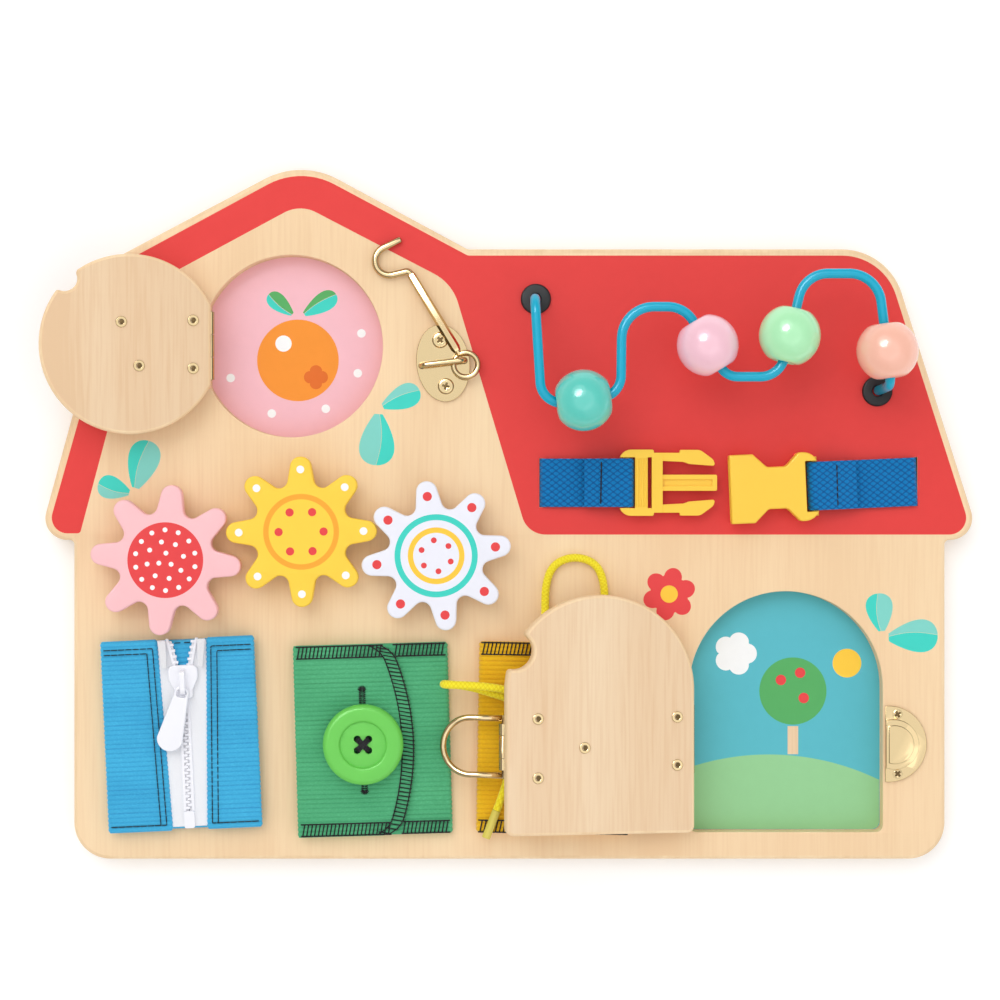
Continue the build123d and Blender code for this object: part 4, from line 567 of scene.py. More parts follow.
def ringFrames(path, closed=False):
    # two directions square to the path at each point, carried along it without twist
    d = unit(np.roll(path, -1, 0) - np.roll(path, 1, 0) if closed else np.gradient(path, axis=0))
    side = np.zeros_like(d)
    side[0] = unit(np.cross(d[0], (0, 0, 1) if abs(d[0][2]) < 0.9 else (1, 0, 0)))
    for i in range(1, len(path)):
        side[i] = unit(side[i - 1] - d[i] * (side[i - 1] @ d[i]))
    return d, side, np.cross(d, side)


def addTube(batch, path, radius, sides=20, closed=False):
    # a round section carried along the path; its end rings close to points over a small dome
    path = np.asarray(path, float)
    radius = np.broadcast_to(np.asarray(radius, float), (len(path),)).copy()
    d, s, u = ringFrames(path, closed)
    if not closed:
        t = np.radians([90, 60, 30])
        head = path[0] - d[0] * (radius[0] * 0.5 * np.sin(t))[:, None]
        tail = path[-1] + d[-1] * (radius[-1] * 0.5 * np.sin(t[::-1]))[:, None]
        path = np.concatenate([head, path, tail])
        radius = np.concatenate([radius[0] * np.cos(t) + 1e-4, radius, radius[-1] * np.cos(t[::-1]) + 1e-4])
        s, u = (np.concatenate([np.repeat(v[:1], 3, 0), v, np.repeat(v[-1:], 3, 0)]) for v in (s, u))
    a = np.arange(sides) * 2 * math.pi / sides
    ring = np.cos(a)[None, :, None] * s[:, None] + np.sin(a)[None, :, None] * u[:, None]
    grid = path[:, None] + ring * radius[:, None, None]
    faces, uvs = gridFaces(len(grid), sides, wrapRows=closed, wrapCols=True)
    if not closed:
        faces, uvs = capped(grid, faces, uvs)
    batch.add(grid, faces, 0, uvs)


def addLathe(batch, plane, profile, sides=64):
    # the closed profile's (radius, height) points turned about the plane's Z
    r, z = np.asarray(profile, float).T[:, :, None]
    a = np.arange(sides) * 2 * math.pi / sides
    grid = np.stack([r * np.cos(a), r * np.sin(a), np.repeat(z, sides, 1)], -1)
    faces, uvs = gridFaces(len(grid), sides, wrapRows=True, wrapCols=True)
    batch.add(placed(plane, grid.reshape(-1, 3)), faces, 0, uvs)


# the board and its prints
house = {
    "corners": [(-180, -142.5), (180, -142.5), (180, -10.6), (194.8, -10.6), (156.5, 109.6), (-17.3, 109.6),
                (-86.1, 146.8), (-163, 106), (-194.8, -10.6), (-180, -10.6)],
    "rounds": [15, 15, 2, 9, 26, 3, 32, 8, 9, 2],
    "roof": [(7.5, -8.4), (191.3, -8.4), (154.5, 106.9), (-17.2, 106.9), (-86.1, 143.7), (-159.6, 104.0),
             (-191.2, -7.9), (-177.4, -7.9), (-150.3, 93.8), (-86.5, 128.2), (-23.7, 95.5)],
    "roofRounds": [10, 7, 23.5, 3, 29, 6, 6.5, 1.5, 8, 14, 20],
    "low": 3.0, "rimTop": 1.5, "rimLow": 0.2, "windowRim": 0.3, "slotRim": 0.05,
    "slots": [(13.1, 13.0), (167.8, 13.5)], "slotHalf": (0.75, 10.1),
}
# each leaf has a foot, an angle, a length, a width and its two materials
leafShape = {"bulge": 0.855, "toe": 0.8, "tip": 2.6, "rib": 0.12, "gap": 0.06, "points": 26}
boardLeaves = [((-155.0, 9.2), 74, 22, 13, 2, 3), ((-156.0, 8.6), 164, 14.5, 9.5, 3, 2),
               ((-53.6, 44.0), 24, 18, 10, 3, 2), ((-54.0, 43.2), -93, 23, 14.5, 2, 3),
               ((154.0, -49.6), 96, 17, 11, 2, 3), ((155.0, -51.0), 3, 22, 13.5, 3, 2)]


def leafLoops(foot, angle, length, width, lightMat, darkMat):
    # a drop split along its midrib: half width = bulge * width * along ^ toe * sqrt(1 - along ^ tip)
    t = 1 - (1 - np.linspace(0, 1, leafShape["points"])) ** 2
    side = heading(angle + 90)
    tip = np.sqrt(np.maximum(0, 1 - t ** leafShape["tip"]))
    half = leafShape["bulge"] * width * t ** leafShape["toe"] * tip
    middle = np.array(foot) + heading(angle) * length * t[:, None]
    rib = middle + side * (leafShape["rib"] * width * np.sin(math.pi * t))[:, None]
    loops = []
    for sign, mat in ((1, lightMat), (-1, darkMat)):
        shift = sign * side * leafShape["gap"]
        edge = middle + sign * side * half[:, None]
        loops.append({"loop": wound(np.concatenate([rib[1:-1] + shift, edge[-2:0:-1] + shift])), "mat": mat})
    return loops


def dot(x, y, r, mat, count=20, inside=()):
    # a printed disc, with the prints that lie inside it
    return {"loop": circle(x, y, r, count), "mat": mat, "inside": inside}


def ringDots(reach, r, count, mat, start=0.0):
    # equal dots round a ring
    turns = start + np.arange(count) * 2 * math.pi / count
    return [dot(reach * math.cos(t), reach * math.sin(t), r, mat) for t in turns]


def petals(x, y, r, count, depth, mat, start=0.0, inside=()):
    # a round blob with lobes: reach = r * (1 - depth + depth * |cos(half the lobe angle)| ^ 0.7)
    a = np.arange(96) * 2 * math.pi / 96
    reach = r * (1 - depth + depth * np.abs(np.cos((a - start) * count / 2)) ** 0.7)
    return {"loop": np.stack([x + reach * np.cos(a), y + reach * np.sin(a)], 1), "mat": mat, "inside": inside}


def bittenArc(r, start, end, bite, lip, counts):
    # an arc about the origin with a round bite out of it; each lip is a circle inside the arc that touches
    # both, and stands off the bite's direction by the angle that the law of cosines gives
    biteR, distance, angle = bite
    inner, apart = r - lip, biteR + lip
    spread = math.degrees(math.acos((inner ** 2 + distance ** 2 - apart ** 2) / (2 * inner * distance)))
    first, last = angle - spread, angle + spread
    centre, lips = distance * heading(angle), [inner * heading(t) for t in (first, last)]
    toFirst, toLast = (math.degrees(math.atan2(*(centre - at)[::-1])) for at in lips)
    return np.concatenate([
        arcPoints(0, 0, r, start, first, counts[0])[1:],
        arcPoints(*lips[0], lip, first, first + (toFirst - first + 180) % 360 - 180, 6),
        arcPoints(*centre, biteR, toFirst + 180, toFirst + 180 - (toFirst - toLast) % 360, counts[1])[1:-1],
        arcPoints(*lips[1], lip, last + (toLast - last + 180) % 360 - 180, last, 6),
        arcPoints(0, 0, r, last, end, counts[2])[:-1],
    ])


def discWithFlat(x, y, r, flat, corner=3.0, bite=None, lip=1.4):
    # a circle with a flat on its left; its corners are circles that touch both
    cx = flat + corner
    cy = math.sqrt((r - corner) ** 2 - cx ** 2)
    reach = math.degrees(math.atan2(cy, cx))
    lower, upper = arcPoints(cx, -cy, corner, -180, -reach, 6), arcPoints(cx, cy, corner, reach, 180, 6)
    if bite:
        rim = bittenArc(r, -reach, reach, bite, lip, (50, 22, 30))
    else:
        rim = arcPoints(0, 0, r, -reach, reach, 90)[1:-1]
    return np.concatenate([lower, rim, upper]) + [x, y]


def archLoop(x, y, r, drop, corner=3.0, bite=None, lip=1.6):
    # a half circle over straight sides, with rounded lower corners
    foot = roundedPath([(-r, 0), (-r, -drop), (r, -drop), (r, 0)], corner, False, 10)
    rim = bittenArc(r, 0, 180, bite, lip, (10, 24, 60)) if bite else arcPoints(0, 0, r, 0, 180, 70)[1:-1]
    return np.concatenate([foot, rim]) + [x, y]


def box(x, y, halfX, halfY):
    # four corners about a middle
    left, right, low, high = x - halfX, x + halfX, y - halfY, y + halfY
    return np.array([(left, low), (right, low), (right, high), (left, high)])


roundWindow = {"x": -90.0, "y": 69.5, "r": 37.7, "flat": -33.8}
archWindow = {"x": 114.3, "y": -71.8, "r": 40.0, "drop": 59.5}
slots = [box(*at, *house["slotHalf"]) for at in house["slots"]]
holes = [discWithFlat(**roundWindow), archLoop(**archWindow)] + slots
outline = roundedPath(house["corners"], house["rounds"], True, 5)
roof = {"loop": roundedPath(house["roof"], house["roofRounds"], True, 5), "mat": 1, "cuts": (2, 3)}
flower = petals(66.0, -33.0, 11.0, 6, 0.35, 4, 0.3, [dot(66.0, -33.0, 3.6, 5, 24)])
leaves = [loop for leaf in boardLeaves for loop in leafLoops(*leaf)]
batch = Batch()
addSlab(batch, basis((0, 0, 0)), outline, house["low"], boardTop, house["rimTop"], house["rimLow"], holes,
        [flower] + leaves + [roof], sideMat=6, lowMat=6,
        holeRim=[house["windowRim"]] * 2 + [house["slotRim"]] * 2)
boardMats = [boardWood, roofRed, leafTeal, leafMist, petalRed, sunYellow, edgeWood]
batch.piece("frontBoard", "board", "wood_board", boardMats, ("front_board",), 35)
print("front board made")


# doors, open by 180 degrees less their tilt, and the pictures behind them
door = {"axisZ": 12.7, "front": -1.7, "back": -9.2, "rim": 1.2}
roundDoor = {"axis": -123.3, "tilt": 10.5, "reach": 33.3, "r": 36.7, "flat": -32.8,
             "bite": (5.4, 37.56, 45.0)}
archDoor = {"axis": 74.8, "tilt": 9.3, "reach": 39.5, "r": 39.0, "drop": 58.5, "bite": (7.6, 39.0, 25.0)}


def swung(axisX, tilt):
    # a door's plane about its hinge axis: X runs out from the axis
    c, s = heading(180 - tilt)
    return basis((axisX, 0, door["axisZ"]), (c, 0, s), (-s, 0, c))


def within(plane, x, y, z=0.0, degrees=0.0):
    # a plane set at a point of another, turned about its own Z
    c, s = heading(degrees)
    return basis(placed(plane, (x, y, z)), c * plane[1][0] + s * plane[1][1], plane[1][2])


roundSwing, archSwing = (swung(leaf["axis"], leaf["tilt"]) for leaf in (roundDoor, archDoor))
roundLeaf = discWithFlat(roundDoor["reach"], roundWindow["y"], roundDoor["r"], roundDoor["flat"],
                         bite=roundDoor["bite"])
archLeaf = archLoop(archDoor["reach"], archWindow["y"], archDoor["r"], archDoor["drop"],
                    bite=archDoor["bite"])
for name, node, swing, loop in (("roundDoor", "round_door", roundSwing, roundLeaf),
                                ("archedDoor", "arched_door", archSwing, archLeaf)):
    batch = Batch()
    addSlab(batch, swing, loop, door["back"], door["front"], door["rim"], door["rim"], sideMat=1)
    batch.piece(name, node, "door_wood", [doorWood, edgeWood], (node,), 35)


picture = {"low": 2.7, "high": 3.04, "rim": 0.02}


def addPicture(name, loop, prints, mats):
    # a thin card on the back board, seen through its window
    batch = Batch()
    rim = picture["rim"]
    addSlab(batch, basis((0, 0, 0)), loop, picture["low"], picture["high"], rim, rim, prints=prints)
    batch.piece(name, "board", "wood_back", mats)


fruitDots = {"turns": (0.2, 3.6, 4.4, 5.2, 5.9), "reach": 29, "r": 1.8}
fruitInside = [dot(-94.0, 71.0, 3.4, 3, 24), petals(-80.5, 57.0, 5.0, 4, 0.3, 2)]
fruit = [dot(-88.0, 64.0, 17.0, 1, 60, fruitInside), *leafLoops((-86.5, 82.5), 32, 17, 8, 4, 5),
         *leafLoops((-89.5, 82.5), 140, 14, 7, 5, 4)]
for t in fruitDots["turns"]:
    x = roundWindow["x"] + fruitDots["reach"] * math.cos(t)
    y = roundWindow["y"] + fruitDots["reach"] * math.sin(t)
    fruit.append(dot(x, y, fruitDots["r"], 3, 18))
addPicture("roundPicture", discWithFlat(roundWindow["x"], roundWindow["y"], 37.5, -33.6), fruit,
           [picturePink, fruitOrange, fruitShade, cloudWhite, leafGreen, leafTeal])
hillFoot = [(74.7, -128.2), (75.5, -130.2), (77.5, -131.0), (151.1, -131.0), (153.1, -130.2), (153.9, -128.2)]
hill = {"loop": np.concatenate([arcPoints(108.0, -205.0, 105.0, 64.1, 108.45, 40), hillFoot]), "mat": 1}
apples = [dot(x, y, 2.2, 4, 16) for x, y in ((113.0, -69.0), (122.5, -76.5), (121.0, -66.0))]
tree = [dot(118.0, -73.6, 14.0, 2, 50, apples), {"loop": box(118.0, -94.05, 2.2, 5.85), "mat": 5}]
cloud, sun = petals(94.0, -58.0, 9.0, 5, 0.25, 3), dot(140.5, -62.0, 6.0, 6, 36)
addPicture("archPicture", archLoop(archWindow["x"], archWindow["y"], 39.8, 59.3),
           [hill] + tree + [cloud, sun],
           [pictureTeal, hillMint, leafGreen, cloudWhite, petalRed, doorWood, sunYellow])
print("doors and pictures made")


# gears
gearShape = {"tip": 30.8, "lobe": 4.3, "taper": 10.0, "valley": 3.6, "lobes": 8,
             "low": 15.5, "high": 23.0, "rim": 0.8}


def gearLoop():
    # lobes with tip arcs, flanks that widen by the taper, and valley arcs tangent to both flanks
    lobe, taper, valley = gearShape["lobe"], gearShape["taper"], gearShape["valley"]
    reach = gearShape["tip"] - lobe
    half = 180.0 / gearShape["lobes"]
    valleyReach = (lobe + reach * heading(taper)[1] + valley) / heading(half + taper)[1]
    loop = []
    for k in range(gearShape["lobes"]):
        at = 2 * half * k
        loop.append(arcPoints(*(reach * heading(at)), lobe, at - 90 + taper, at + 90 - taper, 18))
        loop.append(arcPoints(*(valleyReach * heading(at + half)), valley, at + 270 - taper,
                              at + 2 * half + 90 + taper, 12))
    return np.concatenate(loop)


# each gear has a place, a turn, its materials and its prints, one inside the other
pinkDots = ringDots(2.9, 1.0, 3, 2) + ringDots(7.6, 1.0, 8, 2, 0.3) + ringDots(12.4, 1.0, 14, 2, 0.1)
yellowFace = dot(0, 0, 13.3, 0, 80, ringDots(9.2, 1.7, 6, 3))
whiteFace = dot(0, 0, 11.6, 2, 70, [dot(0, 0, 9.4, 0, 60, ringDots(6.4, 1.2, 6, 1))])
whiteFace = dot(0, 0, 17.0, 3, 90, [dot(0, 0, 14.6, 0, 80, [whiteFace])])
gears = {
    "pink": {"at": (-140.7, -18.7), "turn": 84.8, "mats": [gearPink, petalRed, cloudWhite],
             "prints": [dot(0, 0, 15.5, 1, 90, pinkDots)]},
    "yellow": {"at": (-85.2, -7.1), "turn": 0.7, "mats": [gearYellow, ringOrange, cloudWhite, petalRed],
               "prints": [dot(0, 0, 15.5, 1, 90, [yellowFace]), *ringDots(25.5, 1.6, 8, 2)]},
    "white": {"at": (-30.0, -16.9), "turn": 98.5, "mats": [gearWhite, petalRed, sunYellow, leafTeal],
              "prints": [whiteFace, *ringDots(24.5, 1.9, 8, 1)]},
}
for colour, gear in gears.items():
    batch = Batch()
    addSlab(batch, turned(*gear["at"], 0, gear["turn"]), gearLoop(), gearShape["low"], gearShape["high"],
            gearShape["rim"], gearShape["rim"], prints=gear["prints"], lowMat=len(gear["mats"]))
    node = colour + "_gear"
    batch.piece(colour + "Gear", node, node + "_print", gear["mats"] + [edgeWood], (node,), 35)
print("gears made")


# the bead wire and its beads
maze = {"r": 2.0, "z": 38.0, "foot": 3.4, "ends": [(10.9, 88.9), (151.9, 50.8)],
        "corners": [(10.2, 87.3), (12.9, 43.6), (44.8, 48.3), (45.3, 83.8), (70.5, 83.8), (87.4, 55.6),
                    (108.9, 55.6), (118.9, 97.2), (148.3, 97.2), (154.0, 52.3)],
        "rounds": [7, 9, 9, 13, 12, 8, 10, 12, 13, 7]}
grommet = {"flange": [(2.1, 0.0), (6.25, 0.0), (6.25, 1.6), (2.1, 1.9)], "rounds": [0.1, 0.2, 0.9, 0.5],
           "neck": [(2.1, -7.5), (3.6, -7.5), (3.6, 0.0), (2.1, 0.0)]}
# each bead has the number of the straight run it sits on and its share of the way along it
bead = {"r": 12.5, "length": 22.0, "edge": 0.5, "mouth": [(5.5, 0), (4.9, 0.05), (4.3, -0.4), (4.2, -1.2)],
        "runs": {"teal": (1, 0.53), "pink": (4, 0.55), "green": (6, 0.40), "peach": (8, 0.695)}}
foot, tail = [(*at, maze["foot"]) for at in maze["ends"]]
wirePoints = [foot] + [(*at, maze["z"]) for at in maze["corners"]] + [tail]
batch = Batch()
addTube(batch, roundedPath(wirePoints, maze["rounds"], False, 4), maze["r"], 24)
batch.piece("beadWire", "board", "wire_paint", [wireTeal], ("maze_wire",), 60)
batch = Batch()
for at in maze["ends"]:
    plane = basis((*at, boardTop))
    addLathe(batch, plane, roundedPath(grommet["flange"], grommet["rounds"], True, 15))
    addLathe(batch, plane, grommet["neck"], 40)
batch.piece("grommetFlanges", "board", "black_rubber", [rubberBlack], ("grommets",))
half = bead["length"] / 2
heights = np.linspace(-half + bead["edge"], half - bead["edge"], 36)
ball = np.stack([np.sqrt(bead["r"] ** 2 - heights ** 2), heights], 1)
mouth = [(r, half + up) for r, up in bead["mouth"]]
beadProfile = np.concatenate([ball, mouth, [(r, -h) for r, h in mouth[::-1]]])
for colour, (run, share) in bead["runs"].items():
    start, end = np.array(maze["corners"][run:run + 2])
    batch = Batch()
    at = start + (end - start) * share
    addLathe(batch, basis((*at, maze["z"]), (0, 0, 1), (*unit(end - start), 0)), beadProfile, 72)
    node = colour + "_bead"
    batch.piece(colour + "Bead", node, colour + "_paint", [beadPaint[colour]], (node,), 50)
print("bead wire made")


# pieces that keep the CAD shape
def dress(mat, *names):
    # a finish on CAD nodes that are shown as they are
    for name in names:
        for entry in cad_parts[name].material_slots:
            entry.link = "OBJECT"
            entry.material = mat


def welded(node):
    # a node's mesh, its points in the shared frame and its loose triangles joined
    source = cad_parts[node]
    work = bmesh.new()
    work.from_mesh(source.data)
    work.transform(source.matrix_world)
    bmesh.ops.remove_doubles(work, verts=work.verts, dist=2e-6)
    return work


def softCopy(node, body, mat, bevel=0.25, angle=32):
    # the node's own shape with its flats joined and its edges eased
    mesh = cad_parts[node].data.copy()
    work = welded(node)
    bmesh.ops.dissolve_limit(work, angle_limit=math.radians(1.5), verts=work.verts, edges=work.edges)
    work.to_mesh(mesh)
    work.free()
    mesh.materials.clear()
    mesh.materials.append(mat)
    mesh.polygons.foreach_set("use_smooth", np.ones(len(mesh.polygons), bool))
    mesh.set_sharp_from_angle(angle=math.radians(angle))
    piece = makePiece(node + "Soft", mesh, body, (node,))
    if bevel:
        ease = piece.modifiers.new("easedEdges", "BEVEL")
        ease.width, ease.segments = bevel * mm, 2
        ease.limit_method, ease.angle_limit = "ANGLE", math.radians(angle)


def pieceSpots(node):
    # the box of each separate piece of a node, as its middle and half size in mm
    work = welded(node)
    left, spots = set(work.verts), []
    while left:
        front = [left.pop()]
        found = list(front)
        while front:
            near = {edge.other_vert(vert) for vert in front for edge in vert.link_edges} & left
            left -= near
            front = list(near)
            found += front
        points = np.array([vert.co for vert in found]) / mm
        high, low = points.max(0), points.min(0)
        spots.append(((high + low) / 2, (high - low) / 2))
    work.free()
    return spots


dress(backWood, "back_board")
dress(steel, "back_screws", "wire_push_nuts", "gear_spacers")
dress(steel, "pink_gear_axle", "yellow_gear_axle", "white_gear_axle")
dress(brass, "hinge_pins")
dress(zipWhite, "zip_teeth", "zip_bottom_stop")
dress(rubberBlack, "lace_eyelets")
dress(webbingBlue, "strap_tails")
dress(agletClear, "aglets")
brassPlates = {
    "board": ("round_hinge_board_leaf", "arched_hinge_board_leaf", "hook_plate", "keeper_plate"),
    "round_door": ("round_hinge_door_leaf", "door_eye_plate", "round_door_sleeve_nuts"),
    "arched_door": ("arched_hinge_door_leaf", "hasp_plate", "arched_door_sleeve_nuts"),
}
brassScrews = {"board": "brass_screws", "round_door": "round_door_screws",
               "arched_door": "arched_door_screws"}
for body, nodes in brassPlates.items():
    for node in nodes:
        softCopy(node, body, brass, 0.22)
    softCopy(brassScrews[body], body, brass, 0.3)
softCopy("hasp_loop", "hasp_loop", brass, 0.0, 50)
softCopy("zip_slider", "zip_slider", zipWhite, 0.25)
softCopy("buckle_male", "buckle_male", buckleYellow, 0.35)
softCopy("buckle_female", "buckle_female", buckleYellow, 0.35)

# the wire arches on the hook's plate and on the round door's plate
arch = {"wire": 1.2, "round": 2.6,
        "corners": [(-8.85, 0, -5.0), (-8.85, 0, 6.6), (8.85, 0, 6.6), (8.85, 0, -5.0)]}
hookPlate = {"x": -27.4, "y": 62.4, "turn": 7.0}
hookPlatePlane = turned(hookPlate["x"], hookPlate["y"], boardTop, hookPlate["turn"])
doorEyePlane = within(roundSwing, roundDoor["reach"], roundWindow["y"], door["front"], -22.0)
for name, node, plane, body in (("hookArch", "hook_arch", hookPlatePlane, "board"),
                                ("doorEyeArch", "door_eye_arch", doorEyePlane, "round_door")):
    batch = Batch()
    addTube(batch, placed(plane, roundedPath(arch["corners"], arch["round"], False, 8)), arch["wire"], 20)
    batch.piece(name, body, "brass", [brass], (node,), 60)

# six-sided sockets in the sleeve nuts, drawn as dark hexagons of painted shade just proud of them
socket = {"r": 1.1, "low": -0.32, "high": -0.1, "rim": 0.02}
for body, plane in (("round_door", roundSwing), ("arched_door", archSwing)):
    batch = Batch()
    for middle, _ in pieceSpots(body + "_sleeve_nuts"):
        x, y, _ = plane[1] @ (middle - plane[0])
        addSlab(batch, within(plane, x, y), circle(0, 0, socket["r"], 6), door["back"] + socket["low"],
                door["back"] + socket["high"], socket["rim"], socket["rim"])
    batch.piece(body + "Sockets", body, "brass", [brassRecessShade], (), 30)

# domed heads with a cross on the plates that face up at rest; a head stands proud of its plate by 1 less its
# sunk depth, and the keeper's heads stay under the hasp loop's path
heads = {"hook": {"sunk": 0.55, "wider": 0.35}, "keeper": {"sunk": 0.88, "wider": 0.1},
         "dome": 0.85, "thick": 1.0, "crossHalf": 0.35, "crossReach": 1.4, "floor": 1.7,
         "keeperX": 150.0, "near": 8.0}
w, reach = heads["crossHalf"], heads["crossReach"]
quarter = np.array([(w, w), (w, reach), (-w, reach)])
cross = np.concatenate([quarter @ [heading(t), heading(t + 90)] for t in (0, 90, 180, 270)])
batch = Batch()
for middle, half in pieceSpots("brass_screws"):
    x, y, z = middle
    onKeeper = x > heads["keeperX"]
    if onKeeper or (abs(x - hookPlate["x"]) < heads["near"] and y > 0):
        head = heads["keeper" if onKeeper else "hook"]
        sunk = head["sunk"]
        seat = turned(x, y, z + half[2] - sunk, hookPlate["turn"] + 3 * y)
        rim, recessShadeDisc = circle(0, 0, half[0] + head["wider"], 48), circle(0, 0, heads["floor"], 24)
        addSlab(batch, seat, rim, 0.0, heads["thick"], heads["dome"], 0.05, [cross])
        # a disc of painted shade inside the head, seen through its cross
        addSlab(batch, seat, recessShadeDisc, sunk - 0.2, sunk + 0.03, 0.02, 0.02, topMat=1)
batch.piece("plateScrews", "board", "brass", [brass, brassRecessShade], (), 30)

# the hook: an open ring, a six-sided shaft that tapers away from it, and a bent tip
hook = {"at": (-18.016, 61.579, 15.0), "turn": 121.2, "dip": 2.4, "ring": 5.05, "ringWire": 1.15,
        "stem": [(5.0, 0, 0), (45.4, 0, 0), (49.7, 13.6, 0), (59.5, 7.7, 0), (58.3, -3.5, 0)],
        "stemRounds": [2, 5.9, 5.9], "neckWire": 1.2, "tipWire": 1.42,
        "shaft": [(7.0, 1.6), (8.4, 2.0), (20.0, 1.95), (43.2, 1.75), (43.9, 1.45)]}
aim, (level, fall) = heading(hook["turn"]), heading(-hook["dip"])
hookPlane = basis(hook["at"], (*(aim * level), fall), (*(-aim * fall), level))
ring = arcPoints(0, 0, hook["ring"], 14, 357, 60)
stem = roundedPath(hook["stem"], hook["stemRounds"], False, 8)
batch = Batch()
addTube(batch, placed(hookPlane, np.pad(ring, ((0, 0), (0, 1)))), hook["ringWire"], 18)
addTube(batch, placed(hookPlane, stem), np.where(stem[:, 0] < 7, hook["neckWire"], hook["tipWire"]), 20)
addTube(batch, placed(hookPlane, [(x, 0, 0) for x, _ in hook["shaft"]]), [r for _, r in hook["shaft"]], 6)
batch.piece("hookWire", "hook", "brass", [brass], ("hook",), 34)

# the zip's pull: two arcs joined by their outer tangents, with an oblong hole at its bar
pull = {"at": (-133.9639, -71.4333), "turn": -14.4, "neck": 3.0, "end": 5.4, "length": 27.2, "bar": 1.5,
        "hole": (4.0, 3.0), "holeRound": 1.0, "low": 18.3, "high": 19.8, "rim": 0.5}
holeHalfX, holeHalfY = pull["hole"][0] / 2, pull["hole"][1] / 2
neckY, tipY = -pull["bar"] / 2 - holeHalfY, -(pull["length"] - pull["bar"] / 2 - pull["end"])
lean = math.degrees(math.asin((pull["end"] - pull["neck"]) / (neckY - tipY)))
pullLoop = np.concatenate([arcPoints(0, neckY, pull["neck"], -lean, 180 + lean, 30),
                           arcPoints(0, tipY, pull["end"], 180 + lean, 360 - lean, 40)])
pullHole = roundedPath(box(0, neckY, holeHalfX, holeHalfY), pull["holeRound"], True, 15)
batch = Batch()
addSlab(batch, turned(*pull["at"], 0, pull["turn"]), pullLoop, pull["low"], pull["high"], pull["rim"],
        pull["rim"], [pullHole])
batch.piece("zipTab", "zip_pull", "zip_metal", [zipWhite], ("zip_pull",), 50)
print("brass and plastic pieces made")


# corduroy bands
cloth = {"pitch": 1.9, "depth": 0.34, "sharp": 0.7, "rowsPerRib": 7, "top": 56, "side": 11, "under": 14,
         "broad": (9.0, 12.0), "fine": (4.7, 21.0), "fineShare": 0.6, "sink": 1.2}
stitch = {"r": 0.32, "dash": 2.3, "gap": 0.5, "rise": 0.3, "sink": 0.12}
overlock = {"width": 5.0, "pitch": 1.6, "slant": 0.55, "r": 0.3, "start": 0.12, "up": (-0.9, 0.05, 0.1),
            "chain": (2.2, 0.15), "chainAt": (0.03, 1.0)}
halfWide, halfTall = 31.75, 39.5
bluePlane = turned(-135, -90.5, boardTop, 2.6)
greenPlane = turned(-56.1, -92.8, boardTop, 1.6)
mustardPlane = turned(18.5, -92.1, boardTop, -1.0)


def addRibbedPad(batch, plane, left, right, yLow, yHigh, zLow, zHigh, edge=1.6, puff=0.25, seed=1.0,
                 depth=cloth["depth"], endRoll=1.3):
    # rolled sides are half ellipses; the ends roll in over a quarter turn; ribs stand out by
    # depth * |cos(pi y / pitch)| ^ sharp, and slow waves of two sines puff the top up
    roll = np.radians(np.linspace(18, 78, 5))
    rows = max(8, int((yHigh - yLow) / cloth["pitch"] * cloth["rowsPerRib"]))
    rolled = endRoll * (1 - np.cos(roll))
    flat = np.linspace(yLow + endRoll, yHigh - endRoll, rows)
    y = np.concatenate([yLow + rolled, flat, yHigh - rolled[::-1]])
    thick = np.concatenate([np.sin(roll), np.ones(rows), np.sin(roll[::-1])])[:, None]
    top, side, under = cloth["top"], cloth["side"], cloth["under"]
    a = np.radians(np.linspace(90, -90, side))
    push = np.concatenate([np.linspace(-1, 1, top), np.ones(side), np.linspace(1, -1, under), -np.ones(side)])
    out = np.concatenate([np.zeros(top), np.cos(a), np.zeros(under), -np.cos(a[::-1])])
    rise = np.concatenate([np.ones(top), np.sin(a), -np.ones(under), np.sin(a[::-1])])
    leftX, rightX = (np.broadcast_to(v(y) if callable(v) else v, y.shape)[:, None] for v in (left, right))
    x = (leftX + rightX) / 2 + push * ((rightX - leftX) / 2 - edge) + out * edge * thick
    yy = np.broadcast_to(y[:, None], x.shape)
    rib = np.abs(np.cos(math.pi * yy / cloth["pitch"])) ** cloth["sharp"] if depth else np.ones_like(x)
    (broadX, broadY), (fineX, fineY) = cloth["broad"], cloth["fine"]
    broad = np.sin(x / broadX + seed) * np.sin(yy / broadY + 1.7 * seed)
    wave = puff * (broad + cloth["fineShare"] * np.sin(x / fineX - yy / fineY + seed) - cloth["sink"])
    z = (zLow + zHigh) / 2 + (zHigh - zLow) / 2 * thick * rise
    z = z + (wave + depth * (rib - 1)) * np.maximum(rise, 0) * thick
    grid = np.stack([x + out * depth * (rib - 1) * thick, yy, z], -1)
    quads, uv = gridFaces(*x.shape, wrapCols=True)
    faces, uv = capped(grid, quads, uv)
    batch.add(placed(plane, grid.reshape(-1, 3)), faces, 0, uv)
    return rib.ravel()


def addThread(batch, plane, points, r=stitch["r"], dash=stitch["dash"], gap=stitch["gap"], z=0.0):
    # stitches laid along a route, each a short thread that dips at its ends
    points = np.asarray(points, float)
    d = np.concatenate([[0], np.cumsum(steps(points))])
    count = max(1, int(d[-1] / (dash + gap)))
    t = np.linspace(0, 1, 5)
    for k in range(count):
        s = (k + 0.5) * d[-1] / count + (t - 0.5) * dash
        x, y = (np.interp(s, d, column) for column in points.T)
        high = z + stitch["rise"] * np.sin(math.pi * t) - stitch["sink"]
        addTube(batch, placed(plane, np.stack([x, y, high], 1)), r, 6)


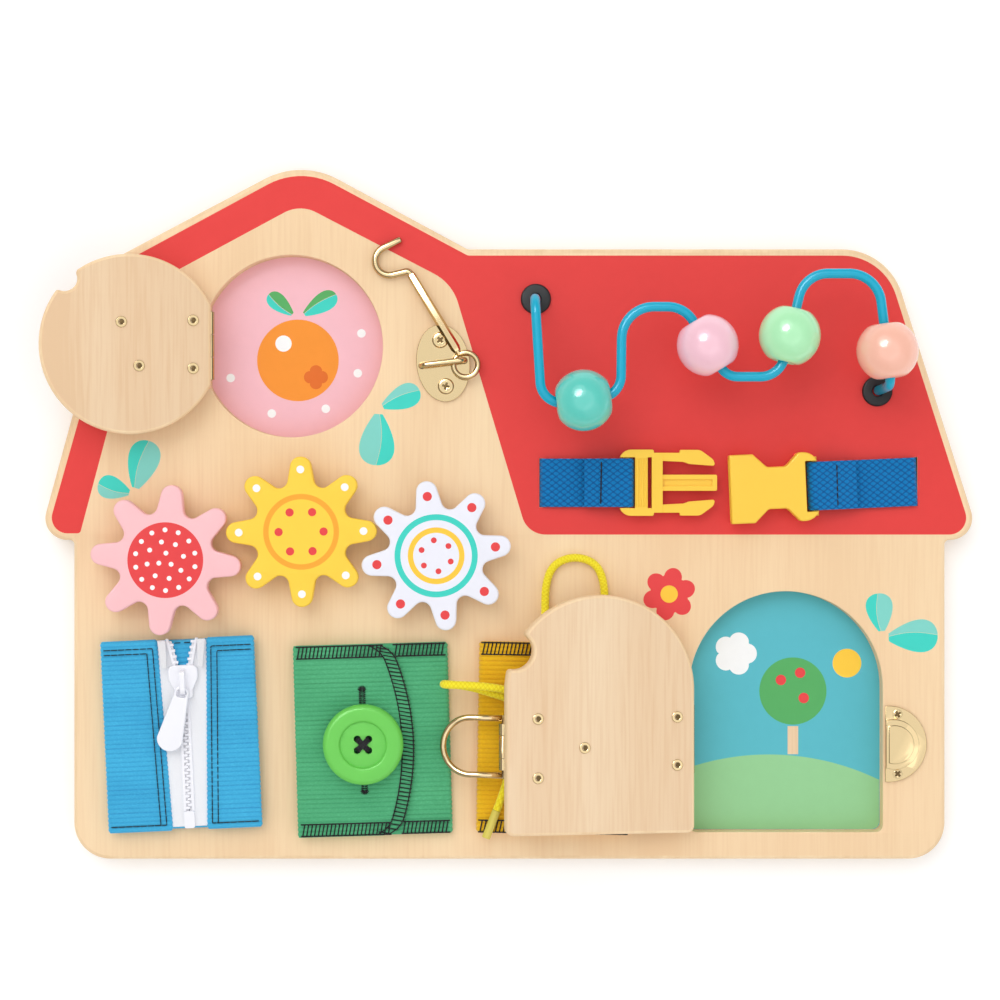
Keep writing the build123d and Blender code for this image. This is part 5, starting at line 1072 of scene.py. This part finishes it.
def addOverlock(batch, plane, start, end, z):
    # a row of slanting strokes over a hem, with a chain of stitches along both its sides
    start, end, pitch = np.array(start, float), np.array(end, float), overlock["pitch"]
    along = unit(end - start)
    side = overlock["width"] * np.array([-along[1], along[0]])
    for k in range(int(np.linalg.norm(end - start) / pitch)):
        foot = start + along * (k + 0.5) * pitch
        tip = foot + side + along * pitch * overlock["slant"]
        corners = (foot, foot + side * overlock["start"], tip)
        stroke = [(*corner, z + up) for corner, up in zip(corners, overlock["up"])]
        addTube(batch, placed(plane, stroke), overlock["r"], 5)
    for share in overlock["chainAt"]:
        chain = [start + side * share, end + side * share]
        addThread(batch, plane, chain, overlock["r"], *overlock["chain"], z + overlock["up"][-1])


def edgeFrom(side, near, slope, fromY):
    # an edge beside the zip that leaves its middle at a slope from a height on
    return lambda y: zipX + side * (near + slope * np.maximum(0, y - fromY))


# the blue band: a base under two halves that part upwards, with two seams on each
zipX = 1.9
blue = {"edge": 6.9, "slope": 3.1 / 79, "low": 3.1, "high": 6.1, "roll": 1.2, "baseIn": (1, 0.5),
        "base": {"zLow": 0.3, "zHigh": 3.7, "puff": 0.1, "seed": 2.0}, "seams": ((3.7, 1.0), (5.7, 3.4)),
        "outer": 30.4, "seamTop": 11.0, "seamLow": 8.4, "hem": 2.6, "thread": (0.2, 2.6, 0.3), "seamZ": 6.03,
        "crossHalf": 4, "crossIn": 1.9, "crossThread": (0.2, 2.4, 0.3), "crossZ": 3.75}
leftInner, rightInner = (edgeFrom(side, blue["edge"], blue["slope"], -halfTall) for side in (-1, 1))
batch = Batch()
baseX, baseY = halfWide - blue["baseIn"][0], halfTall - blue["baseIn"][1]
ribs = [addRibbedPad(batch, bluePlane, -baseX, baseX, -baseY, baseY, **blue["base"])]
for left, right, seed in ((-halfWide, leftInner, 0.4), (rightInner, halfWide, 3.4)):
    ribs.append(addRibbedPad(batch, bluePlane, left, right, -halfTall, halfTall, blue["low"], blue["high"],
                             blue["roll"], seed=seed))
blueBand = batch.piece("blueBand", "board", "blue_cord", [blueCord], ("blue_band",), 60, ribs=ribs)
batch = Batch()
for fromTop, wide in blue["seams"]:
    for side in (-1, 1):
        topY, lowY = halfTall - fromTop, -halfTall + blue["hem"]
        topX, lowX = (zipX + side * (blue[place] + wide) for place in ("seamTop", "seamLow"))
        outerX = side * blue["outer"]
        seam = [(outerX, topY), (topX, topY), (lowX, lowY)]
        if wide < 2:
            seam.append((outerX, lowY))
        addThread(batch, bluePlane, seam, *blue["thread"], blue["seamZ"])
crossSeam = [(zipX + side * blue["crossHalf"], halfTall - blue["crossIn"]) for side in (-1, 1)]
addThread(batch, bluePlane, crossSeam, *blue["crossThread"], blue["crossZ"])
batch.piece("blueStitches", "board", "thread_black", [threadBlack])
print("blue band made")

# the mustard band, overlocked at both ends
mustard = {"low": 0.3, "high": 5.7, "edge": 2.2, "puff": 0.2, "seed": 1.3, "hemZ": 5.6, "hemIn": (1.0, 0.4)}
hemX, hemY = halfWide - mustard["hemIn"][0], halfTall - mustard["hemIn"][1]
batch = Batch()
ribs = [addRibbedPad(batch, mustardPlane, -halfWide, halfWide, -halfTall, halfTall, mustard["low"],
                     mustard["high"], mustard["edge"], mustard["puff"], mustard["seed"])]
mustardBand = batch.piece("mustardBand", "board", "mustard_cord", [mustardCord], ("mustard_band",), 60,
                          ribs=ribs)
batch = Batch()
for sign in (1, -1):
    addOverlock(batch, mustardPlane, (sign * hemX, sign * hemY), (-sign * hemX, sign * hemY), mustard["hemZ"])
batch.piece("mustardStitches", "board", "thread_black", [threadBlack])

# the green band and the flap over it; a stroke's corners hold a distance back or out, one along, and a height
flap = {"edge": 16.9, "bulge": 4.6, "from": -2.0, "over": 30.0, "corner": 7.0, "low": 3.6, "high": 5.2,
        "hemZ": (3.6, 5.1), "thread": 0.26, "stroke": ((0, 0, 4.0), (0.5, 0, 5.05), (5.0, 0.9, 5.1)),
        "chain": (2.2, 0.15), "chains": ((5.0, 5.08), (0.35, 5.0))}
buttonhole = {"x": -4.0, "half": 20.6, "pitch": 0.8, "thread": 0.28,
              "stroke": ((0.2, 0, 4.9), (0.6, 0, 5.2), (1.25, 0.2, 5.0)),
              "fan": (15, 165, 7), "fanReach": (0.3, 1.7), "fanZ": 5.2, "fanThread": 0.24}


def flapEdge(y):
    # the edge bulges by 4.6 mm in 30 and turns in over a quarter circle at both ends
    corner = flap["corner"]
    near = np.clip(corner - (halfTall - np.abs(y)), 0, corner)
    turnIn = corner - np.sqrt(corner ** 2 - near ** 2)
    return flap["edge"] - flap["bulge"] * ((y - flap["from"]) / flap["over"]) ** 2 - turnIn


batch = Batch()
ribs = [addRibbedPad(batch, greenPlane, -halfWide, halfWide, -halfTall, halfTall, 0.3, 3.6,
                     puff=0.15, seed=2.2)]
greenBand = batch.piece("greenBand", "board", "green_cord", [greenCord], ("green_band",), 60, ribs=ribs)
batch = Batch()
ribs = [addRibbedPad(batch, greenPlane, -halfWide - 0.3, flapEdge, -halfTall, halfTall, flap["low"],
                     flap["high"], 0.8, 0.15, 0.9, endRoll=0.8)]
greenFlap = batch.piece("greenFlap", "board", "green_cord", [greenCord], (), 60, ribs=ribs)
batch = Batch()
for sign in (1, -1):
    flapAt = float(flapEdge(sign * (halfTall - 3.0)))
    for (fromX, toX), z in zip(((hemX, flapAt + 1), (flapAt - 3, -hemX)), flap["hemZ"]):
        addOverlock(batch, greenPlane, *[(fromX, sign * hemY), (toX, sign * hemY)][::sign], z)
edgeY = np.linspace(-halfTall + 0.8, halfTall - 0.8, 48)
edgeX = flapEdge(edgeY)
for x, y in zip(edgeX[:-1], edgeY[:-1]):
    stroke = [(x - back, y + up, z) for back, up, z in flap["stroke"]]
    addTube(batch, placed(greenPlane, stroke), flap["thread"], 5)
for back, z in flap["chains"]:
    addThread(batch, greenPlane, np.stack([edgeX - back, edgeY], 1), flap["thread"], *flap["chain"], z)
# the buttonhole: close strokes down both sides and a fan at each end
holeX, holeHalf = buttonhole["x"], buttonhole["half"]
for side in (-1, 1):
    for y in np.arange(-holeHalf, holeHalf, buttonhole["pitch"]):
        stroke = [(holeX + side * out, y + up, z) for out, up, z in buttonhole["stroke"]]
        addTube(batch, placed(greenPlane, stroke), buttonhole["thread"], 5)
    for t in np.linspace(*buttonhole["fan"]):
        c, s = heading(side * t)
        stroke = [(holeX + reach * c, side * holeHalf + reach * s, buttonhole["fanZ"])
                  for reach in buttonhole["fanReach"]]
        addTube(batch, placed(greenPlane, stroke), buttonhole["fanThread"], 5)
batch.piece("greenStitches", "board", "thread_black", [threadBlack])
print("green and mustard bands made")

# zip tapes: edge to edge up to the parting point, then 13 degrees apart, with their tops folded outward
tape = {"half": 10.4, "part": 20.3, "angle": 13.0, "low": 3.9, "high": 4.6, "foldLow": 6.7, "foldHigh": 7.3,
        "foldFrom": 27.6, "foldIn": 6.45, "foldOut": 8.4125, "foldSlope": 0.125}
flatEnds = {"edge": 0.3, "puff": 0.0, "depth": 0.0, "endRoll": 0.3}
batch = Batch()
for side in (-1, 1):
    inner = edgeFrom(side, 0.1, math.tan(math.radians(tape["angle"])), tape["part"])
    foldOut = edgeFrom(side, tape["foldOut"], tape["foldSlope"], tape["foldFrom"])
    sides = (zipX + side * tape["half"], inner)[::-side]
    addRibbedPad(batch, bluePlane, *sides, -halfTall + 1.5, halfTall - 1, tape["low"], tape["high"],
                 **flatEnds)
    sides = (foldOut, zipX + side * tape["foldIn"])[::-side]
    addRibbedPad(batch, bluePlane, *sides, tape["foldFrom"], halfTall - 0.4, tape["foldLow"],
                 tape["foldHigh"], **flatEnds)
zipTapes = batch.piece("zipTapes", "board", "zip_tape", [tapeWhite], ("zip_tapes",), 60, withUv=True)

# the button: a rolled rim round a flat middle with four holes, and two crossed threads
button = {"at": (-60.0, -94.3), "rim": [(9.2, 18.0), (16.5, 17.9), (16.5, 22.9), (9.4, 22.9)],
          "rounds": [0.3, 1.4, 2.3, 1.1], "middle": 10.4, "low": 18.0, "high": 21.6, "edge": 0.05,
          "holeReach": 3.3, "holeR": 1.45, "shank": [(0.01, 16.8), (2.2, 16.8), (2.0, 18.4), (0.01, 18.4)],
          "thread": 0.42, "threadZ": (18.2, 22.2), "threadRound": 1.2, "strands": (-0.75, 0.0, 0.75)}
buttonPlane = basis((*button["at"], 0))
buttonHoles = [circle(*(button["holeReach"] * heading(t)), button["holeR"], 20) for t in (45, 135, 225, 315)]
batch = Batch()
addLathe(batch, buttonPlane, roundedPath(button["rim"], button["rounds"], True, 15), 96)
addSlab(batch, buttonPlane, circle(0, 0, button["middle"]), button["low"], button["high"],
        button["edge"], button["edge"], buttonHoles)
batch.piece("greenButton", "button", "button_green", [buttonGreen], ("button",), 50)
batch = Batch()
for t in (45, 135):
    for off in button["strands"]:
        reach, (foot, top) = button["holeReach"] + 0.1 * off, button["threadZ"]
        run = [(-reach, off, foot), (-reach, off, top), (reach, off, top), (reach, off, foot)]
        plane = turned(*button["at"], 0, t)
        bent = roundedPath(run, button["threadRound"], False, 10)
        addTube(batch, placed(plane, bent), button["thread"], 8)
addLathe(batch, buttonPlane, button["shank"], 24)
batch.piece("buttonThread", "button", "thread_black", [threadBlack], ("button_thread",), 50)


# the buckle's straps: up out of a slot, over to the buckle's bar, round it and back
def addRibbon(batch, plane, path, halfWidth, halfThick, edge=0.5):
    # a rounded rectangle carried along a path in the plane's XZ; u counts along it in centimetres, v across
    path = np.asarray(path, float)
    d = unit(np.gradient(path, axis=0))
    n = np.stack([-d[:, 1], d[:, 0]], 1)
    across, rise = roundedPath(box(0, 0, halfWidth, halfThick), edge, True, 30).T
    spine = path[:, None] + n[:, None] * rise[None, :, None]
    grid = np.stack([spine[..., 0], np.broadcast_to(across, spine.shape[:2]), spine[..., 1]], -1)
    quads, _ = gridFaces(*grid.shape[:2], wrapCols=True)
    length = np.concatenate([[0], np.cumsum(steps(path))]) / 10
    rows, cols = np.divmod(quads.ravel(), len(across))
    faces, uv = capped(grid, quads, np.stack([length[rows], (across[cols] + halfWidth) / (2 * halfWidth)], 1))
    batch.add(placed(plane, grid.reshape(-1, 3)), faces, 0, uv)


strap = {"half": (10.0, 0.7), "z": 12.0, "barZ": 3.5, "wrap": 2.25, "fold": 31.0, "thread": (0.3, 2.6, 0.25),
         "seamHalf": 8.6, "seamZ": 5.0,
         "rise": [(-0.2, -8.0), (-0.2, -2.5), (0.1, -0.9), (0.9, -0.1), (2.2, 0.12)],
         "back": [(5, 1.95), (9, 1.0), (13, 0.35), (17.4, -0.2)]}
straps = {
    "left": {"start": (13.3, 13.0), "bar": (48.3, 13.0), "seam": 10.8, "rests": "buckle_male"},
    "right": {"start": (167.6, 13.4619), "bar": (125.467, 11.6223), "seam": 9.4, "rests": "buckle_female"},
}
for name, side in straps.items():
    start, bar = np.array(side["start"]), np.array(side["bar"])
    reach, node, barZ = float(np.linalg.norm(bar - start)), name + "_strap", strap["barZ"]
    plane = basis((*start, strap["z"]), (*unit(bar - start), 0))
    # the run to the bar climbs by a power of 1.3, so that it leaves the board gently
    footX, footZ = strap["rise"][-1]
    share = np.arange(1, 8) / 8
    climb = footZ + (barZ - strap["wrap"] - footZ) * share ** 1.3
    climb = np.stack([footX + (reach - footX - 1) * share, climb], 1)
    turn = arcPoints(reach, barZ, strap["wrap"], -84, 96, 26)
    back = [(reach - x, barZ + z) for x, z in strap["back"]]
    batch = Batch()
    addRibbon(batch, plane, np.concatenate([strap["rise"], climb, turn, back]), *strap["half"])
    piece = batch.piece(name + "Strap", node, "webbing_blue", [webbingBlue], (node,), 50, withUv=True)
    batch = Batch()
    seam, seamHalf = reach - side["seam"], strap["seamHalf"]
    addThread(batch, plane, [(seam, -seamHalf), (seam + 0.3, seamHalf)], *strap["thread"], strap["seamZ"])
    batch.piece(name + "StrapStitches", node, "thread_black", [threadBlack])
print("straps made")

# the lace: two free loops and one free end are cords, with their points in metres
# the lace's dark colour is painted shade in the gaps between its yarns
lace = {"r": 1.65, "light": tone(255, 240, 52), "dark": tone(236, 210, 20), "give": 0.965}
topLoop = [(0.0167, -0.0699, 0.01925), (0.0156, -0.06, 0.01875), (0.0149, -0.0495, 0.01855),
           (0.0146, -0.038, 0.013), (0.0151, -0.0275, 0.0128), (0.0185, -0.0202, 0.0128),
           (0.027, -0.0172, 0.0128), (0.0356, -0.02, 0.0128), (0.039, -0.0275, 0.0128),
           (0.0393, -0.038, 0.013), (0.0355, -0.0495, 0.01855), (0.0287, -0.06, 0.01875),
           (0.022, -0.069, 0.01925)]
leftLoop = [(0.0129, -0.0762, 0.02055), (0.0048, -0.0732, 0.02175), (-0.005, -0.0709, 0.02255),
            (-0.016, -0.0698, 0.02345), (-0.0268, -0.0695, 0.02455), (-0.0271, -0.0695, 0.01815),
            (-0.0165, -0.0706, 0.01835), (-0.0065, -0.0736, 0.01855), (0.004, -0.077, 0.01865),
            (0.0132, -0.079, 0.01875)]
leftEnd = [(0.0176, -0.0823, 0.01865), (0.0098, -0.0846, 0.01855), (0.0034, -0.0894, 0.01855),
           (0.0008, -0.0995, 0.01855), (-0.0012, -0.111, 0.01855), (-0.0053, -0.1215, 0.01855)]
rightEnd = [(0.0246, -0.0774, 0.01865), (0.0306, -0.0798, 0.01855), (0.0348, -0.0856, 0.01855),
            (0.0364, -0.093, 0.01855)]


def braid(name, length):
    # four yarns round the lace, crossing once in each 1.1 radii of its length in mm
    return yarn(name, lace["light"], lace["dark"], length / (lace["r"] * 1.1), 4.0)


def laceCord(name, points, node):
    # a round cord that is drawn by the points and cuts their corners, so that it is a little shorter
    length = float(np.sum(steps(points))) * lace["give"]
    curve = bpy.data.curves.new(name, "CURVE")
    curve.dimensions = "3D"
    curve.bevel_depth = lace["r"] * mm
    curve.bevel_resolution, curve.resolution_u, curve.use_fill_caps = 5, 12, True
    curve.materials.append(braid(name + "Braid", length / mm))
    spline = curve.splines.new("NURBS")
    spline.points.add(len(points) - 1)
    for point, at in zip(spline.points, points):
        point.co = (*at, 1)
    spline.order_u, spline.use_endpoint_u = 3, True
    piece = makePiece(name, curve, "board", (node,))


laceCord("laceLoopTop", topLoop, "lace_loop_top")
laceCord("laceLoopLeft", leftLoop, "lace_loop_left")
laceCord("laceEndLeft", leftEnd, "lace_end_left")

# the crossing runs: a front run over each row of eyelets, sides and one diagonal beneath
threading = {"half": 9.5, "rows": (20.0, 2.0, -18.0), "sway": 0.8, "crown": 8.5, "lean": 0.9, "over": 8.1,
             "below": 3.0, "slant": (0.45, 0.89), "ends": (5.3, 20.2, 8.3), "pull": 0.45}
knot = {"at": (0.0, 17.0, 8.9), "deep": 0.6,
        "turns": ((-2.3, 62, 3.0, -0.2), (2.3, 118, 3.0, -0.2), (0.0, 96, 3.3, 0.25))}


def threaded(side, y, front, under):
    # the lace's corners above and beneath an eyelet, each leaning to its run
    x, lean = side * threading["half"], threading["lean"]
    return [(x + lean * front[0], y + lean * front[1], threading["over"]),
            (x + lean * under[0], y + lean * under[1], threading["below"])]


def partway(start, end, along, aside):
    # a point along a run, set to its side by the distance
    start, end = np.array(start), np.array(end)
    return tuple(start + (end - start) * along + unit(np.cross(end - start, (0, 0, 1))) * aside)


def lacePiece(name, braidName, paths, node, sides=14, closed=False):
    # lace that lies still: a tube along each path in mm, braided by the length of the last one
    batch = Batch()
    for path in paths:
        addTube(batch, path, lace["r"], sides, closed)
    braided = braid(braidName, float(np.sum(steps(path))))
    batch.piece(name, "board", "lace_yellow", [braided], (node,), 180, withUv=True)


(topRow, midRow, lowRow), sway, (slantX, slantY) = threading["rows"], threading["sway"], threading["slant"]
topLeft = threaded(-1, topRow, (1, 0), (0, -1))
midLeft = threaded(-1, midRow, (1, 0), (0, 1))[::-1]
midRight = threaded(1, midRow, (-1, 0), (0, -1))
lowRight = threaded(1, lowRow, (-1, 0), (0, 1))[::-1]
lowLeft = threaded(-1, lowRow, (1, 0), (slantX, slantY))
topRight = threaded(1, topRow, (-1, 0), (-slantX, -slantY))[::-1]
diagonal = [partway(lowLeft[1], topRight[0], share, aside)
            for share, aside in ((0.25, sway), (0.5, -sway), (0.77, sway))]
endX, endY, endZ = threading["ends"]
route = [(-endX, endY, endZ), *topLeft, partway(topLeft[1], midLeft[0], 0.5, sway), *midLeft,
         (0, midRow, threading["crown"]), *midRight, partway(midRight[1], lowRight[0], 0.5, -sway), *lowRight,
         (0, lowRow, threading["crown"]), *lowLeft, *diagonal, *topRight, (endX, endY, endZ)]
laceRounds = []
for before, at, after in zip(route, route[1:], route[2:]):
    # the widest bend that the shorter of its two runs leaves room for
    runIn, runOut = np.array(at) - before, np.array(after) - at
    shorter = min(np.linalg.norm(runIn), np.linalg.norm(runOut))
    bend = math.acos(np.clip(unit(runIn) @ unit(runOut), -1, 1))
    laceRounds.append(threading["pull"] * shorter / math.tan(bend / 2))
crossing = placed(mustardPlane, roundedPath(route, laceRounds, False, 9))
lacePiece("laceCrossing", "crossingBraid", [crossing], "lace_crossing")
rightPath = roundedPath(np.array(rightEnd) / mm, [4.0, 4.0], False, 8)
lacePiece("laceEndRight", "rightEndBraid", [rightPath], "lace_end_right")
# the knot: two slanting turns under one turn drawn across them
x, y, z = knot["at"]
t = np.arange(40) * 2 * math.pi / 40
strands = []
for aside, angle, wide, rise in knot["turns"]:
    c, s = wide * heading(angle)
    strand = np.stack([x + aside + c * np.cos(t), y + s * np.cos(t), z + rise + knot["deep"] * np.sin(t)], 1)
    strands.append(placed(mustardPlane, strand))
lacePiece("laceKnot", "knotBraid", strands, "lace_knot", 16, True)
print("lace made")

# the floor glows a little to the camera alone, so that it is near white and still keeps the shadow
floor = bpy.data.meshes.new("floor")
floor.from_pydata([(-3, -3, 0), (3, -3, 0), (3, 3, 0), (-3, 3, 0)], [], [(0, 1, 2, 3)])
floorMat = bpy.data.materials.new("floor")
floorMat.use_nodes = True
floorPath = addNode(floorMat.node_tree, "ShaderNodeLightPath")
floorGlow = maths(floorMat.node_tree, "MULTIPLY", floorPath.outputs["Is Camera Ray"], 0.12)
floorLook = {"Base Color": (0.95, 0.95, 0.95, 1), "Roughness": 0.9, "Emission Color": white,
             "Emission Strength": floorGlow}
for key, value in floorLook.items():
    feed(floorMat.node_tree, floorMat.node_tree.nodes["Principled BSDF"].inputs[key], value)
floor.materials.append(floorMat)
floorPiece = bpy.data.objects.new("floor", floor)
floorPiece.location = (0, 0, -0.0005)
bpy.context.scene.collection.objects.link(floorPiece)
